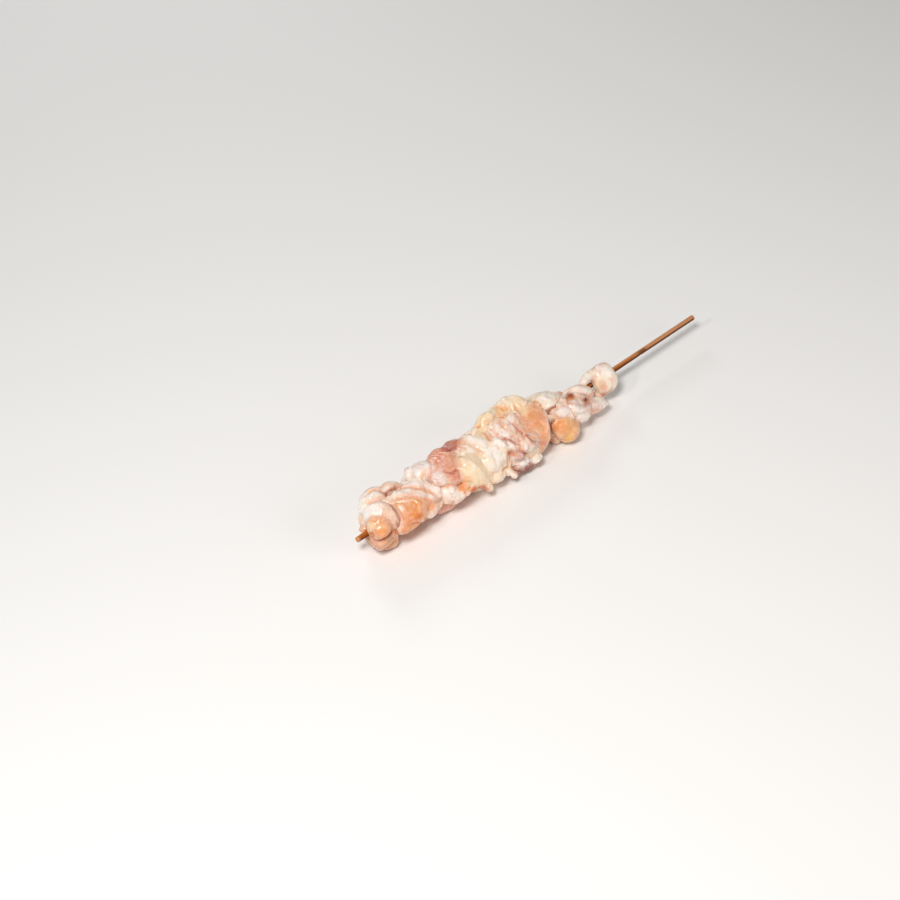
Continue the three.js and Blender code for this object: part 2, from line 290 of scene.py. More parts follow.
def beside(flat: np.ndarray, line: np.ndarray) -> tuple[np.ndarray, np.ndarray, np.ndarray]:
    """Finds where points lie beside a line.

    Args:
        flat: Points in a plane.
        line: The line's points in the same plane.

    Returns:
        Each point's distance from the line, its side (1 or -1), and how far along the line it
        lies, as a share.
    """
    lengths = np.linalg.norm(np.diff(line, axis=0), axis=1)
    before = np.concatenate([[0], np.cumsum(lengths)])
    near = np.full(len(flat), np.inf)
    side = np.zeros(len(flat))
    run = np.zeros(len(flat))
    for start, end, length, done in zip(line, line[1:], lengths, before):
        way = (end - start) / length
        rel = flat - start
        along = np.clip(rel @ way, 0, length)
        away = np.linalg.norm(rel - along[:, None] * way, axis=1)
        closer = away < near
        near[closer] = away[closer]
        cross = way[0] * rel[:, 1] - way[1] * rel[:, 0]
        side[closer] = -np.sign(cross[closer])
        run[closer] = done + along[closer]
    return near, side, run / before[-1]


# ---- meshes --------------------------------------------------------------------------------------


def mesh_from(name: str, shape: bmesh.types.BMesh) -> bpy.types.Mesh:
    """Makes a mesh.

    Args:
        name: The mesh's name.
        shape: The shape, which is freed.

    Returns:
        The mesh.
    """
    mesh = bpy.data.meshes.new(name)
    shape.to_mesh(mesh)
    shape.free()
    return mesh


def linked(name: str, data: bpy.types.ID) -> bpy.types.Object:
    """Puts a mesh, light or camera into the scene.

    Args:
        name: The new object's name.
        data: What it shows.

    Returns:
        The object.
    """
    item = bpy.data.objects.new(name, data)
    bpy.context.scene.collection.objects.link(item)
    return item


# ---- materials -----------------------------------------------------------------------------------


class Nodes:
    """A short way to place and wire the nodes of a tree."""

    def __init__(self, tree: bpy.types.NodeTree) -> None:
        """Works on an empty tree."""
        self.tree = tree

    def add(self, kind: str, inputs: dict | None = None, **settings: object) -> bpy.types.Node:
        """A new node.

        Args:
            kind: The node's type name.
            inputs: Values or sockets by input name or number.
            settings: The node's own settings.

        Returns:
            The node.
        """
        node = self.tree.nodes.new(kind)
        for name, value in settings.items():
            setattr(node, name, value)
        for name, value in (inputs or {}).items():
            if isinstance(value, Socket):
                self.tree.links.new(value, node.inputs[name])
            else:
                node.inputs[name].default_value = value
        return node

    def math(self, operation: str, *values: object) -> Socket:
        """The result of a sum on one, two or three values."""
        node = self.add("ShaderNodeMath", dict(enumerate(values)), operation=operation)
        return node.outputs[0]

    def times(self, *values: object) -> Socket:
        """The product of two values."""
        return self.math("MULTIPLY", *values)

    def vector(self, operation: str, inputs: dict, result: str = "Vector") -> Socket:
        """The result of a vector sum."""
        return self.add("ShaderNodeVectorMath", inputs, operation=operation).outputs[result]

    def stretched(self, vector: Socket, scale: tuple) -> Socket:
        """A vector with each axis scaled."""
        return self.add("ShaderNodeMapping", {"Vector": vector, "Scale": scale}).outputs[0]

    def noise(self, vector: Socket, scale: float, detail: float = 2, rough: float = 0.5) -> Socket:
        """A noise texture's factor over a vector."""
        inputs = {"Vector": vector, "Scale": scale, "Detail": detail, "Roughness": rough}
        return self.add("ShaderNodeTexNoise", inputs).outputs[0]

    def spread(self, value: Socket, low: float, high: float, top: float = 1.0) -> Socket:
        """Stretches a value's range smoothly.

        Args:
            value: The value.
            low: The value that gives 0.
            high: The value that gives the top.
            top: The top.

        Returns:
            The stretched value.
        """
        inputs = {"Value": value, "From Min": low, "From Max": high, "To Min": 0.0, "To Max": top}
        node = self.add("ShaderNodeMapRange", inputs, interpolation_type="SMOOTHSTEP")
        return node.outputs["Result"]

    def mix(self, factor: object, base: object, over: object) -> Socket:
        """Lays one colour over another.

        Args:
            factor: The share of the upper colour.
            base: The lower colour.
            over: The upper colour.

        Returns:
            The mixed colour.
        """
        node = self.add("ShaderNodeMix", data_type="RGBA", blend_type="MIX")
        sockets = {s.identifier: s for s in node.inputs}
        for name, value in (("Factor_Float", factor), ("A_Color", base), ("B_Color", over)):
            if isinstance(value, Socket):
                self.tree.links.new(value, sockets[name])
            else:
                sockets[name].default_value = value
        return next(s for s in node.outputs if s.identifier == "Result_Color")


def rgba(tone: Tone) -> tuple:
    """A tone as linear red, green, blue and alpha."""
    return (*tone.linear(), 1.0)


def group_with(name: str, inputs: dict, outputs: dict) -> tuple:
    """A new node group with named sockets.

    Args:
        name: The group's name.
        inputs: Socket kind and default by input name.
        outputs: Socket kind by output name.

    Returns:
        The group, its nodes helper, its input node and its output node.
    """
    group = bpy.data.node_groups.new(name, "ShaderNodeTree")
    for label, (kind, default) in inputs.items():
        socket = group.interface.new_socket(label, in_out="INPUT", socket_type="NodeSocket" + kind)
        socket.default_value = default
    for label, kind in outputs.items():
        group.interface.new_socket(label, in_out="OUTPUT", socket_type="NodeSocket" + kind)
    nodes = Nodes(group)
    return group, nodes, nodes.add("NodeGroupInput"), nodes.add("NodeGroupOutput")


class TissueGroups:
    """The node groups that every piece of meat, skin and fat shares.

    A grain is the number of a pattern's repeats in a metre, and a range is where it fades in.
    """

    BEND_GRAIN = 160.0
    BEND = 0.006  # metres
    BLUSH_GRAIN, BLUSH_RANGE = 210.0, (0.5, 0.72)
    PALE_GRAIN, PALE_RANGE, PALE_SHARE = 330.0, (0.52, 0.7), 0.8
    THREAD_GRAIN, THREAD_RANGE = 420.0, (0.035, 0.0)
    VEIN_GRAIN, VEIN_RANGE = 190.0, (0.05, 0.0)
    VEINED_GRAIN, VEINED_RANGE = 120.0, (0.5, 0.65)
    FLECK_GRAIN, BRIGHT_RANGE, DULL_RANGE = 800.0, (0.52, 0.68), (0.46, 0.34)
    POOL_GRAIN, POOL_RANGE = 260.0, (0.4, 0.62)
    DRY_COAT = 0.4  # the share of the film that is left between the pools
    PEBBLE_GRAIN = 900.0
    SWELL_GRAIN, SWELL_HEIGHT = 380.0, 2.0

    def __init__(self) -> None:
        """Builds both groups once."""
        self.marbling = self._marbling()
        self.moisture = self._moisture()

    def _marbling(self) -> bpy.types.NodeTree:
        """Makes mottled flesh with pale threads of fat and fine red veins.

        Returns:
            The group.
        """
        group, n, given, out = group_with(
            "marbling",
            {
                "Color": ("Color", (0.8, 0.8, 0.8, 1)),
                "Mottle": ("Float", 0.5),
                "Threads": ("Float", 0.3),
                "Veins": ("Float", 0.2),
                "Blush": ("Color", rgba(Tone.SALMON)),
            },
            {"Color": "Color"},
        )
        mottle, blush, white = given.outputs["Mottle"], given.outputs["Blush"], rgba(Tone.WHITE)
        where = n.add("ShaderNodeTexCoord").outputs["Object"]
        bend = {"Vector": where, "Scale": self.BEND_GRAIN, "Detail": 2.0}
        bent = n.add("ShaderNodeTexNoise", bend).outputs["Color"]
        warp = n.vector("SUBTRACT", {0: bent, 1: (0.5, 0.5, 0.5)})
        moved = n.vector("ADD", {0: where, 1: n.vector("SCALE", {0: warp, "Scale": self.BEND})})
        rosy = n.spread(n.noise(moved, self.BLUSH_GRAIN, 3.0), *self.BLUSH_RANGE)
        color = n.mix(n.times(rosy, mottle), given.outputs["Color"], blush)
        pale = n.spread(n.noise(moved, self.PALE_GRAIN, 3.0), *self.PALE_RANGE)
        color = n.mix(n.times(pale, n.times(mottle, self.PALE_SHARE)), color, white)
        thread = n.math("SUBTRACT", n.noise(moved, self.THREAD_GRAIN, 4.0, 0.6), 0.5)
        line = n.spread(n.math("ABSOLUTE", thread), *self.THREAD_RANGE)
        color = n.mix(n.times(line, given.outputs["Threads"]), color, white)
        cells = {"Vector": moved, "Scale": self.VEIN_GRAIN}
        cells = n.add("ShaderNodeTexVoronoi", cells, feature="DISTANCE_TO_EDGE")
        vein = n.spread(cells.outputs["Distance"], *self.VEIN_RANGE)
        veined = n.spread(n.noise(where, self.VEINED_GRAIN, 1.0), *self.VEINED_RANGE)
        vein = n.times(n.times(vein, veined), given.outputs["Veins"])
        color = n.mix(vein, color, rgba(Tone.BLOOD))
        fleck = n.noise(where, self.FLECK_GRAIN, 2.0, 0.6)
        color = n.mix(n.times(n.spread(fleck, *self.BRIGHT_RANGE), mottle), color, white)
        color = n.mix(n.times(n.spread(fleck, *self.DULL_RANGE), mottle), color, blush)
        n.tree.links.new(color, out.inputs["Color"])
        return group

    def _moisture(self) -> bpy.types.NodeTree:
        """Makes a wet film that is thicker in places, and the fine grain under it.

        Returns:
            The group.
        """
        group, n, given, out = group_with(
            "moisture",
            {"Dry": ("Float", 0.45), "Wet": ("Float", 0.22), "Film": ("Float", 0.8)},
            {"Roughness": "Float", "Coat": "Float", "Height": "Float"},
        )
        where = n.add("ShaderNodeTexCoord").outputs["Object"]
        pool = n.spread(n.noise(where, self.POOL_GRAIN, 3.0), *self.POOL_RANGE)
        wetness = {"Value": pool, "To Min": given.outputs["Dry"], "To Max": given.outputs["Wet"]}
        rough = n.add("ShaderNodeMapRange", wetness)
        n.tree.links.new(rough.outputs["Result"], out.inputs["Roughness"])
        thick = n.math("MULTIPLY_ADD", pool, 1 - self.DRY_COAT, self.DRY_COAT)
        n.tree.links.new(n.times(given.outputs["Film"], thick), out.inputs["Coat"])
        pebble = n.noise(where, self.PEBBLE_GRAIN, 3.0, 0.6)
        swell = n.noise(where, self.SWELL_GRAIN, 2.0, 0.5)
        height = n.math("MULTIPLY_ADD", swell, self.SWELL_HEIGHT, pebble)
        n.tree.links.new(height, out.inputs["Height"])
        return group


@dataclass(frozen=True)
class TissueFinish:
    """One kind of moist tissue, with its depth and bump height in metres."""

    slot: str
    blush: Tone
    mottle: float
    threads: float
    veins: float
    subsurface: float = 0.2
    depth: float = 0.001
    glow: tuple = (1.0, 0.45, 0.25)
    dry: float = 0.34
    wet: float = 0.15
    film: float = 1.0
    bump: float = 0.3
    bump_height: float = 0.0003
    ior: float = 1.38
    film_ior: float = 1.35
    film_roughness: float = 0.11

    def material(self, groups: TissueGroups) -> bpy.types.Material:
        """Makes the material on its first use.

        Args:
            groups: The shared node groups.

        Returns:
            The material.
        """
        name = "tissue_" + self.slot
        if name in bpy.data.materials:
            return bpy.data.materials[name]
        material = bpy.data.materials.new(name)
        material.use_nodes = True
        material.node_tree.nodes.clear()
        n = Nodes(material.node_tree)
        tone = n.add("ShaderNodeAttribute", attribute_name="tone").outputs["Color"]
        marbling = n.add(
            "ShaderNodeGroup",
            {
                "Color": tone,
                "Mottle": self.mottle,
                "Threads": self.threads,
                "Veins": self.veins,
                "Blush": rgba(self.blush),
            },
            node_tree=groups.marbling,
        )
        wetness = {"Dry": self.dry, "Wet": self.wet, "Film": self.film}
        moisture = n.add("ShaderNodeGroup", wetness, node_tree=groups.moisture).outputs
        grain = {"Strength": self.bump, "Distance": self.bump_height, "Height": moisture["Height"]}
        bump = n.add("ShaderNodeBump", grain)
        shader = n.add(
            "ShaderNodeBsdfPrincipled",
            {
                "Base Color": marbling.outputs["Color"],
                "Roughness": moisture["Roughness"],
                "Coat Weight": moisture["Coat"],
                "Normal": bump.outputs["Normal"],
                "IOR": self.ior,
                "Subsurface Weight": self.subsurface,
                "Subsurface Radius": self.glow,
                "Subsurface Scale": self.depth,
                "Coat Roughness": self.film_roughness,
                "Coat IOR": self.film_ior,
            },
        )
        n.add("ShaderNodeOutputMaterial", {"Surface": shader.outputs["BSDF"]})
        return material


FLESH = TissueFinish("flesh", Tone.ORANGE, 0.12, 0.05, 0.05, wet=0.16)
PINK_FLESH = TissueFinish("pink_flesh", Tone.SALMON, 0.22, 0.15, 0.2)
SKIN = TissueFinish("skin", Tone.PINK, 0.18, 0.08, 0.1, film=0.7)
CREAM_FAT = TissueFinish("cream_fat", Tone.APRICOT, 0.13, 0.08, 0.05, glow=(1.0, 0.6, 0.4))
YELLOW_FAT = TissueFinish("yellow_fat", Tone.YELLOW, 0.12, 0.06, 0.03, glow=(1.0, 0.6, 0.3))


@dataclass(frozen=True)
class BambooFinish:
    """Bare split bamboo, lit pale on top and darkened below as painted shade, with a dark scar.

    Lengths are in metres, from the stick's tip or from its middle line, and turns in degrees.
    """

    slot: str = "bamboo"
    near: tuple = (0.41, 0.105, 0.008, 1)
    far: tuple = (0.6, 0.27, 0.125, 1)
    dark: tuple = (0.11, 0.03, 0.008, 1)
    pale: tuple = (0.74, 0.37, 0.17, 1)
    change: tuple = (0.185, 0.22)  # where the near colour gives way to the far one
    fibre_grain: tuple = (60.0, 2400.0, 2400.0)
    band_grain: tuple = (25.0, 700.0, 700.0)
    band_share: float = 0.6
    streak_share: float = 0.5
    lit_side_turn: float = -2.0  # the turn of the lit top, which the painted shade leaves pale
    shade_edge: tuple = (0.0016, 0.0009)  # how far out on it the painted shade of the lower side starts to show
    shade_waver: float = 0.001
    shade_share: float = 0.9
    scar: tuple = (0.203, 0.212)  # where it starts and ends along the stick
    scar_fade: tuple = (0.004, 0.003)
    scar_turn: float = 36.0
    scar_edge: tuple = (0.0008, 0.0016)
    scar_share: float = 0.8
    tip_end: tuple = (0.0025, 0.0)
    handle_end: tuple = (0.2485, 0.2499)
    end_share: float = 0.75
    roughness: float = 0.65
    specular: float = 0.15
    bump: float = 0.5
    bump_height: float = 0.0002

    def material(self, axis: StickAxis) -> bpy.types.Material:
        """Makes the material, with its grain along the stick.

        Args:
            axis: The stick's axis.

        Returns:
            The material.
        """
        material = bpy.data.materials.new("bamboo")
        material.use_nodes = True
        material.node_tree.nodes.clear()
        n = Nodes(material.node_tree)
        where = n.add("ShaderNodeTexCoord").outputs["Object"]
        streak = n.noise(n.stretched(where, self.fibre_grain), 1.0, 3.0, 0.6)
        band = n.noise(n.stretched(where, self.band_grain), 1.0, 2.0)
        local = n.vector("SUBTRACT", {0: where, 1: tuple(axis.tip)})
        along = n.add("ShaderNodeSeparateXYZ", {"Vector": local}).outputs["X"]
        color = n.mix(n.spread(along, *self.change), self.near, self.far)
        color = n.mix(n.spread(band, 0.5, 0.66, self.band_share), color, self.pale)
        color = n.mix(n.spread(streak, 0.5, 0.68, self.streak_share), color, self.dark)
        # painted shade: the stick darkens on its lower side, below its lit top
        out = tuple(axis.out(self.lit_side_turn))
        facing = n.vector("DOT_PRODUCT", {0: local, 1: out}, "Value")
        facing = n.math("MULTIPLY_ADD", band, self.shade_waver, facing)
        color = n.mix(n.spread(facing, *self.shade_edge, self.shade_share), color, self.dark)
        out = tuple(axis.out(self.scar_turn))
        facing = n.vector("DOT_PRODUCT", {0: local, 1: out}, "Value")
        low, high = self.scar
        start = n.spread(along, low, low + self.scar_fade[0])
        end = n.spread(along, high, high - self.scar_fade[1])
        side = n.spread(facing, *self.scar_edge, self.scar_share)
        color = n.mix(n.times(n.times(start, end), side), color, self.dark)
        ends = n.math("ADD", n.spread(along, *self.tip_end), n.spread(along, *self.handle_end))
        color = n.mix(n.times(ends, self.end_share), color, self.pale)
        grain = {"Strength": self.bump, "Distance": self.bump_height, "Height": streak}
        shader = n.add(
            "ShaderNodeBsdfPrincipled",
            {
                "Base Color": color,
                "Roughness": self.roughness,
                "Specular IOR Level": self.specular,
                "Normal": n.add("ShaderNodeBump", grain).outputs["Normal"],
            },
        )
        n.add("ShaderNodeOutputMaterial", {"Surface": shader.outputs["BSDF"]})
        return material


# ---- the meat ------------------------------------------------------------------------------------


# where each pattern reads the noise, so that no two are alike
FOLD_SHIFT, WRINKLE_SHIFT, LOBE_SHIFT, GRAIN_SHIFT, ACCENT_SHIFT = 13, 29, 55, 5, 61


@dataclass(frozen=True)
class Relief:
    """How uneven a piece's surface is: heights and sizes in mm."""

    lump: float = 0.55
    fold: float = 0.4
    wrinkle: float = 0.2
    lobe: float = 0.2
    grain: float = 0.06
    lump_size: float = 8.0
    fold_size: tuple = (5.0, 7.5, 7.5)
    wrinkle_size: tuple = (3.4, 4.0, 4.0)
    lobe_size: tuple = (4.2, 3.6, 3.6)
    grain_size: float = 1.6
    fold_sharpness: float = 0.7
    fold_gain: float = 1.8
    fold_level: float = 0.35
    wrinkle_sharpness: int = 6
    lobe_level: float = 0.35
    lobe_area: float = 8.0  # the size of the areas that have lobes
    lobe_edge: tuple = (-0.1, 0.25)


@dataclass(frozen=True)
class Shading:
    """How strongly painted shade, painted highlight and the neighbours tint a piece: shares, with
    dips and gaps in mm.
    """

    # painted shade in the valleys of the folds
    fold: float = 0.3
    fold_edge: tuple = (0.3, 0.0)
    # painted shade in the seams between lobes
    lobe: float = 0.45
    lobe_edge: tuple = (0.12, 0.0)
    accent: float = 0.65
    accent_edge: tuple = (0.0, 0.45)
    toned_stroke: float = 0.85
    plain_stroke: float = 0.3
    near_rounds: int = 12  # how far small dips and crests are evened out, to measure them
    broad_rounds: int = 60
    # painted highlight on small crests, and on broad ones below
    crest: float = 0.4
    crest_top: float = 0.3
    # painted shade in small dips, and in broad ones below
    dip: float = 0.8
    dip_top: float = 0.35
    broad_crest_highlight: float = 0.5
    broad_dip_shade: float = 1.0
    broad_top: float = 0.7
    # painted shade deep in narrow creases
    pit_shade_share: float = 0.9
    pit_start: float = 0.1
    pit_top: float = 0.3
    touch: float = 0.65
    touch_gap: tuple = (3.5, 0.4)
    touch_waver: float = 0.8
    # painted shade where a piece meets its neighbours
    seam: float = 0.4
    seam_gap: tuple = (1.1, 0.1)
    # painted shade on the underside
    hidden: float = 0.3
    shaded_underside_turn: tuple = (85, 125)


@dataclass(frozen=True)
class HiddenStrokes:
    """The seeded folds and creases on the hidden side, in mm, degrees and radians."""

    spacing: float = 3.5
    turns: tuple = (125, 320)
    slant: float = 0.9
    wander: float = 0.3
    points: int = 4
    step: float = 2.6
    width: tuple = (0.7, 1.3)
    height: tuple = (0.5, 1.0)

    def draw(self, seed: int, low: float, high: float, tones: tuple) -> list[Stroke]:
        """Draws the strokes of a piece.

        Args:
            seed: The seed of the draws.
            low: Where the piece starts along the stick.
            high: Where it ends.
            tones: The tones to choose from.

        Returns:
            The strokes.
        """
        draw = np.random.default_rng(seed)
        strokes = []
        for _ in range(int((high - low) / self.spacing)):
            at, turn = draw.uniform(low, high), draw.uniform(*self.turns)
            heading = draw.uniform(-self.slant, self.slant) + draw.choice((0, math.pi))
            path = []
            for _ in range(self.points):
                path.append((at, turn))
                heading += draw.normal() * self.wander
                at += self.step * math.sin(heading)
                turn += self.step * math.cos(heading) / TURN_ARC
            mark = (Mark.CREASE, Mark.RIDGE, Mark.LIP)[draw.integers(3)]
            tone = tones[draw.integers(len(tones))]
            width, height = draw.uniform(*self.width), draw.uniform(*self.height)
            strokes.append(Stroke(mark, tuple(path), width, height, tone))
        return strokes


class Surface:
    """The points of a mesh as numbers, and the fields that its relief and colours read."""

    SEED_STEP = 101
    BEND_SIZE = 7
    BEND_SHIFTS = (0, 31, 77)
    BEND_REACH = 1.6
    RIPPLE_SIZE = 1.7
    RIPPLE_SHIFT = 40
    WANDER = (0.7, 0.25)  # how far the bend and the ripple move strokes
    LOWEST = 0.0001  # metres over the table

    def __init__(self, mesh: bpy.types.Mesh, axis: StickAxis, seed: int) -> None:
        """Reads the mesh and works out the fields at its points.

        Args:
            mesh: The piece's mesh.
            axis: The stick's axis.
            seed: The piece's seed.
        """
        self.mesh = mesh
        self.noise = Noise(seed * self.SEED_STEP)
        pairs = np.empty(2 * len(mesh.edges), np.int32)
        mesh.edges.foreach_get("vertices", pairs)
        self.pairs = pairs.reshape(-1, 2)
        self.points = self._read("co")
        self.places = axis.unwrap(self.points)
        self.local = self.points / MM
        bend = [self.noise(self.local / self.BEND_SIZE + shift) for shift in self.BEND_SHIFTS]
        self.bend = np.stack(bend, 1)
        self.warped = self.local + self.BEND_REACH * self.bend
        fine = self.local / self.RIPPLE_SIZE
        ripple = np.stack([self.noise(fine), self.noise(fine + self.RIPPLE_SHIFT)], 1)
        self.wander = self.WANDER[0] * self.bend[:, :2] + self.WANDER[1] * ripple

    def _read(self, name: str) -> np.ndarray:
        """Reads a vector of each of the mesh's points.

        Args:
            name: The vector's name.

        Returns:
            One row for each point.
        """
        flat = np.empty(3 * len(self.mesh.vertices), np.float32)
        self.mesh.vertices.foreach_get(name, flat)
        return flat.reshape(-1, 3).astype(float)

    def _write(self) -> None:
        """Moves the mesh's points to where they are here."""
        self.mesh.vertices.foreach_set("co", self.points.astype(np.float32).ravel())
        self.mesh.update()

    @property
    def normals(self) -> np.ndarray:
        """The mesh's normals at its points."""
        return self._read("normal")

    def raise_by(self, height: np.ndarray) -> None:
        """Moves each point out, and keeps it above the table.

        Args:
            height: How far each point moves, in mm.
        """
        self.points += MM * height[:, None] * self.normals
        self.points[:, 2] = np.maximum(self.points[:, 2], self.LOWEST)
        self._write()

    def fill(self, whole: "Whole", share: float) -> None:
        """Moves the points in the furrows between lumps a share of the way out to the whole."""
        self.points += share * whole.steps_from(self.points)
        self._write()

    def hollows(self, rounds: int) -> np.ndarray:
        """Measures how far each point lies below the evened-out surface.

        Args:
            rounds: How often the surface is evened out to measure against.

        Returns:
            The depth of each point in mm, below zero on a crest.
        """
        a, b = self.pairs.T
        size = len(self.points)
        count = (np.bincount(a, minlength=size) + np.bincount(b, minlength=size))[:, None]
        even = self.points.copy()
        for _ in range(rounds):
            sums = [np.bincount(a, v[b], size) + np.bincount(b, v[a], size) for v in even.T]
            even = 0.5 * even + 0.5 * np.stack(sums, 1) / count
        return ((even - self.points) * self.normals).sum(1) / MM

    def unrolled(self, at: float, turn: float, moved: np.ndarray) -> np.ndarray:
        """The points laid flat round a place: mm along the stick and mm round it."""
        round_it = (self.places[:, 1] - turn + 180) % 360 - 180
        return np.stack([self.places[:, 0] - at, round_it * TURN_ARC], 1) + moved


def even_form(name: str, rough: bpy.types.Mesh, voxel: float, smooth: int) -> bpy.types.Object:
    """Joins the closed forms of a rough mesh into one fine even mesh.

    Args:
        name: The new object's name.
        rough: The rough mesh, which is removed.
        voxel: The size of the even mesh's faces in mm.
        smooth: How many times it is smoothed.

    Returns:
        The object with the even mesh.
    """
    piece = linked(name, rough)
    even = piece.modifiers.new("even", "REMESH")
    even.mode = "VOXEL"
    even.voxel_size = voxel * MM
    soften = piece.modifiers.new("soften", "SMOOTH")
    soften.factor = 0.5
    soften.iterations = smooth
    shown = piece.evaluated_get(bpy.context.evaluated_depsgraph_get())
    piece.data = bpy.data.meshes.new_from_object(shown)
    piece.data.name = name
    piece.modifiers.clear()
    bpy.data.meshes.remove(rough)
    return piece


@dataclass
class Tissue:
    """One piece of meat, skin or fat, which stands for its solid."""

    node: str
    finish: TissueFinish
    base: Tone
    relief: Relief
    accents: tuple
    # the tone of the painted shade in hollows, fold valleys, seams and on the underside, and of
    # strokes given no tone
    hollow_shade: Tone = Tone.ORANGE
    seed: int = 1
    voxel: float = 0.4
    smooth: int = 12
    swell: float = 0.35
    fill: float = 0.75
    strokes: tuple = ()
    patches: tuple = ()
    beads: tuple = ()
    shading: Shading = Shading()
    back: HiddenStrokes = HiddenStrokes()

    BEAD_START = 40  # mm out from the stick, from where a bead is let down on the piece
    BEAD_REACH = 12  # mm, for a bead that misses it
    PATCH_WAVER = 1.1
    PATCH_RIPPLE = 0.2
    PATCH_EDGE = (1.3, 0.5)  # where its colour starts and is full, as shares of its size
    ACCENT_SIZE = 6
    STROKE_END = 0.25  # the share of a stroke's height that is left at its ends
    STROKE_RUN = 0.2  # the share of its length over which it comes up
    LIP_EDGE = 0.25
    LIP_CREST = 0.2
    LIP_REACH = 1.6
    LIP_GROOVE = 0.6
    LIP_DEPTH = 0.4
    MARK_SHARE = 0.7
    CREASE_SPREAD = 0.6

    def rough(self, axis: StickAxis) -> bpy.types.Mesh:
        """Gathers the solid's form and its beads, not yet joined.

        Args:
            axis: The stick's axis.

        Returns:
            The rough mesh.
        """
        shape = bmesh.new()
        shape.from_mesh(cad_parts[self.node].data)
        bmesh.ops.remove_doubles(shape, verts=shape.verts, dist=TINY)
        skin = BVHTree.FromBMesh(shape)
        for bead in self.beads:
            out = axis.out(bead.turn)
            start = axis.place(bead.at, bead.turn, self.BEAD_START)
            hit = skin.ray_cast(start, -out)[0] or axis.place(bead.at, bead.turn, self.BEAD_REACH)
            turned = Matrix((Vector((1, 0, 0)), out.cross(Vector((1, 0, 0))), out)).transposed()
            lean = Matrix.Rotation(math.radians(-bead.lean), 3, "Z")
            size = Matrix.Diagonal(MM / 2 * Vector((bead.long, bead.wide, bead.deep)))
            place = Matrix.Translation(hit + MM * bead.lift * out) @ (turned @ lean @ size).to_4x4()
            bmesh.ops.create_icosphere(shape, subdivisions=3, radius=1, matrix=place)
        return mesh_from(self.node + "_rough", shape)

    def _stroke(self, stroke: Stroke, surface: Surface) -> tuple[np.ndarray, np.ndarray]:
        """Works out what a stroke does to the surface.

        Args:
            stroke: The stroke.
            surface: The piece's surface.

        Returns:
            Its height in mm and its share of colour at each point.
        """
        path = np.array(stroke.path, float)
        at, turn = path.mean(0)
        line = smooth_path((path - (at, turn)) * (1, TURN_ARC))
        near, side, share = beside(surface.unrolled(at, turn, surface.wander), line)
        ends = smoothstep(0, self.STROKE_RUN, share) * smoothstep(1, 1 - self.STROKE_RUN, share)
        fade = self.STROKE_END + (1 - self.STROKE_END) * ends
        bell = np.exp(-((near / stroke.width) ** 2))
        if stroke.mark is Mark.LIP:
            signed = near * side
            raised = smoothstep(-self.LIP_EDGE, self.LIP_EDGE, signed)
            raised *= smoothstep(stroke.width * self.LIP_REACH, self.LIP_CREST, signed)
            # the colour of a lip's groove is painted shade at the foot of its edge
            groove = np.exp(-(((signed + self.LIP_GROOVE) / self.LIP_GROOVE) ** 2))
            rise = stroke.height * fade * (raised - self.LIP_DEPTH * groove)
            return rise, self.MARK_SHARE * fade * groove
        if stroke.mark is Mark.RIDGE:
            return stroke.height * fade * bell, self.MARK_SHARE * fade * bell
        # a crease's colour is painted shade in its groove, but for the veins of the marbled flesh
        return -stroke.height * fade * bell, fade * bell**self.CREASE_SPREAD

    def _patch(self, patch: Patch, surface: Surface) -> np.ndarray:
        """Works out where a patch lies.

        Args:
            patch: The patch.
            surface: The piece's surface.

        Returns:
            Its share of colour at each point.
        """
        flat = surface.unrolled(patch.at, patch.turn, self.PATCH_WAVER * surface.bend[:, :2])
        angle = math.radians(patch.lean)
        way = np.array(((math.cos(angle), -math.sin(angle)), (math.sin(angle), math.cos(angle))))
        ring = np.linalg.norm((flat @ way) * 2 / (patch.long, patch.wide), axis=1)
        ring += self.PATCH_RIPPLE * surface.bend[:, 2]
        return patch.strength * smoothstep(*self.PATCH_EDGE, ring)

    def _shape(self, surface: Surface) -> tuple[list, list]:
        """Raises the surface by the relief and the strokes.

        Args:
            surface: The piece's surface.

        Returns:
            The tones of the relief, with painted shade in its fold valleys and lobe seams, and those
            of the patches and strokes, each with its share at each point.
        """
        relief, shading = self.relief, self.shading
        noise, warped, places = surface.noise, surface.warped, surface.places
        height = self.swell + relief.lump * noise(warped / relief.lump_size)
        folded = np.abs(noise(warped / relief.fold_size + FOLD_SHIFT)) ** relief.fold_sharpness
        height += relief.fold * relief.fold_gain * (folded - relief.fold_level)
        crest = 1 - np.abs(noise(warped / relief.wrinkle_size + WRINKLE_SHIFT))
        height += relief.wrinkle * crest**relief.wrinkle_sharpness
        # painted shade in the valleys of the folds
        tints = [(self.hollow_shade, shading.fold * smoothstep(*shading.fold_edge, folded))]
        if relief.lobe:
            near, second = Cells(self.seed)(warped / relief.lobe_size)
            patchy = noise(surface.local / relief.lobe_area + LOBE_SHIFT)
            patchy = smoothstep(*relief.lobe_edge, patchy)
            height += relief.lobe * patchy * (relief.lobe_level - near**2)
            # painted shade in the seams between lobes
            seam = smoothstep(*shading.lobe_edge, second - near)
            tints.append((self.hollow_shade, shading.lobe * patchy * seam))
        height += relief.grain * noise(warped / relief.grain_size + GRAIN_SHIFT)
        for number, accent in enumerate(self.accents):
            spots = noise(warped / (self.ACCENT_SIZE - number) + ACCENT_SHIFT * (number + 1))
            tints.append((accent, shading.accent * smoothstep(*shading.accent_edge, spots)))
        marks = [(patch.tone, self._patch(patch, surface)) for patch in self.patches]
        tones = (self.hollow_shade, *self.accents)
        hidden = self.back.draw(self.seed, places[:, 0].min(), places[:, 0].max(), tones)
        for stroke in [*self.strokes, *hidden]:
            rise, share = self._stroke(stroke, surface)
            height += rise
            strength = shading.toned_stroke if stroke.tone else shading.plain_stroke
            marks.append((stroke.tone or self.hollow_shade, strength * share))
        surface.raise_by(height)
        return tints, marks

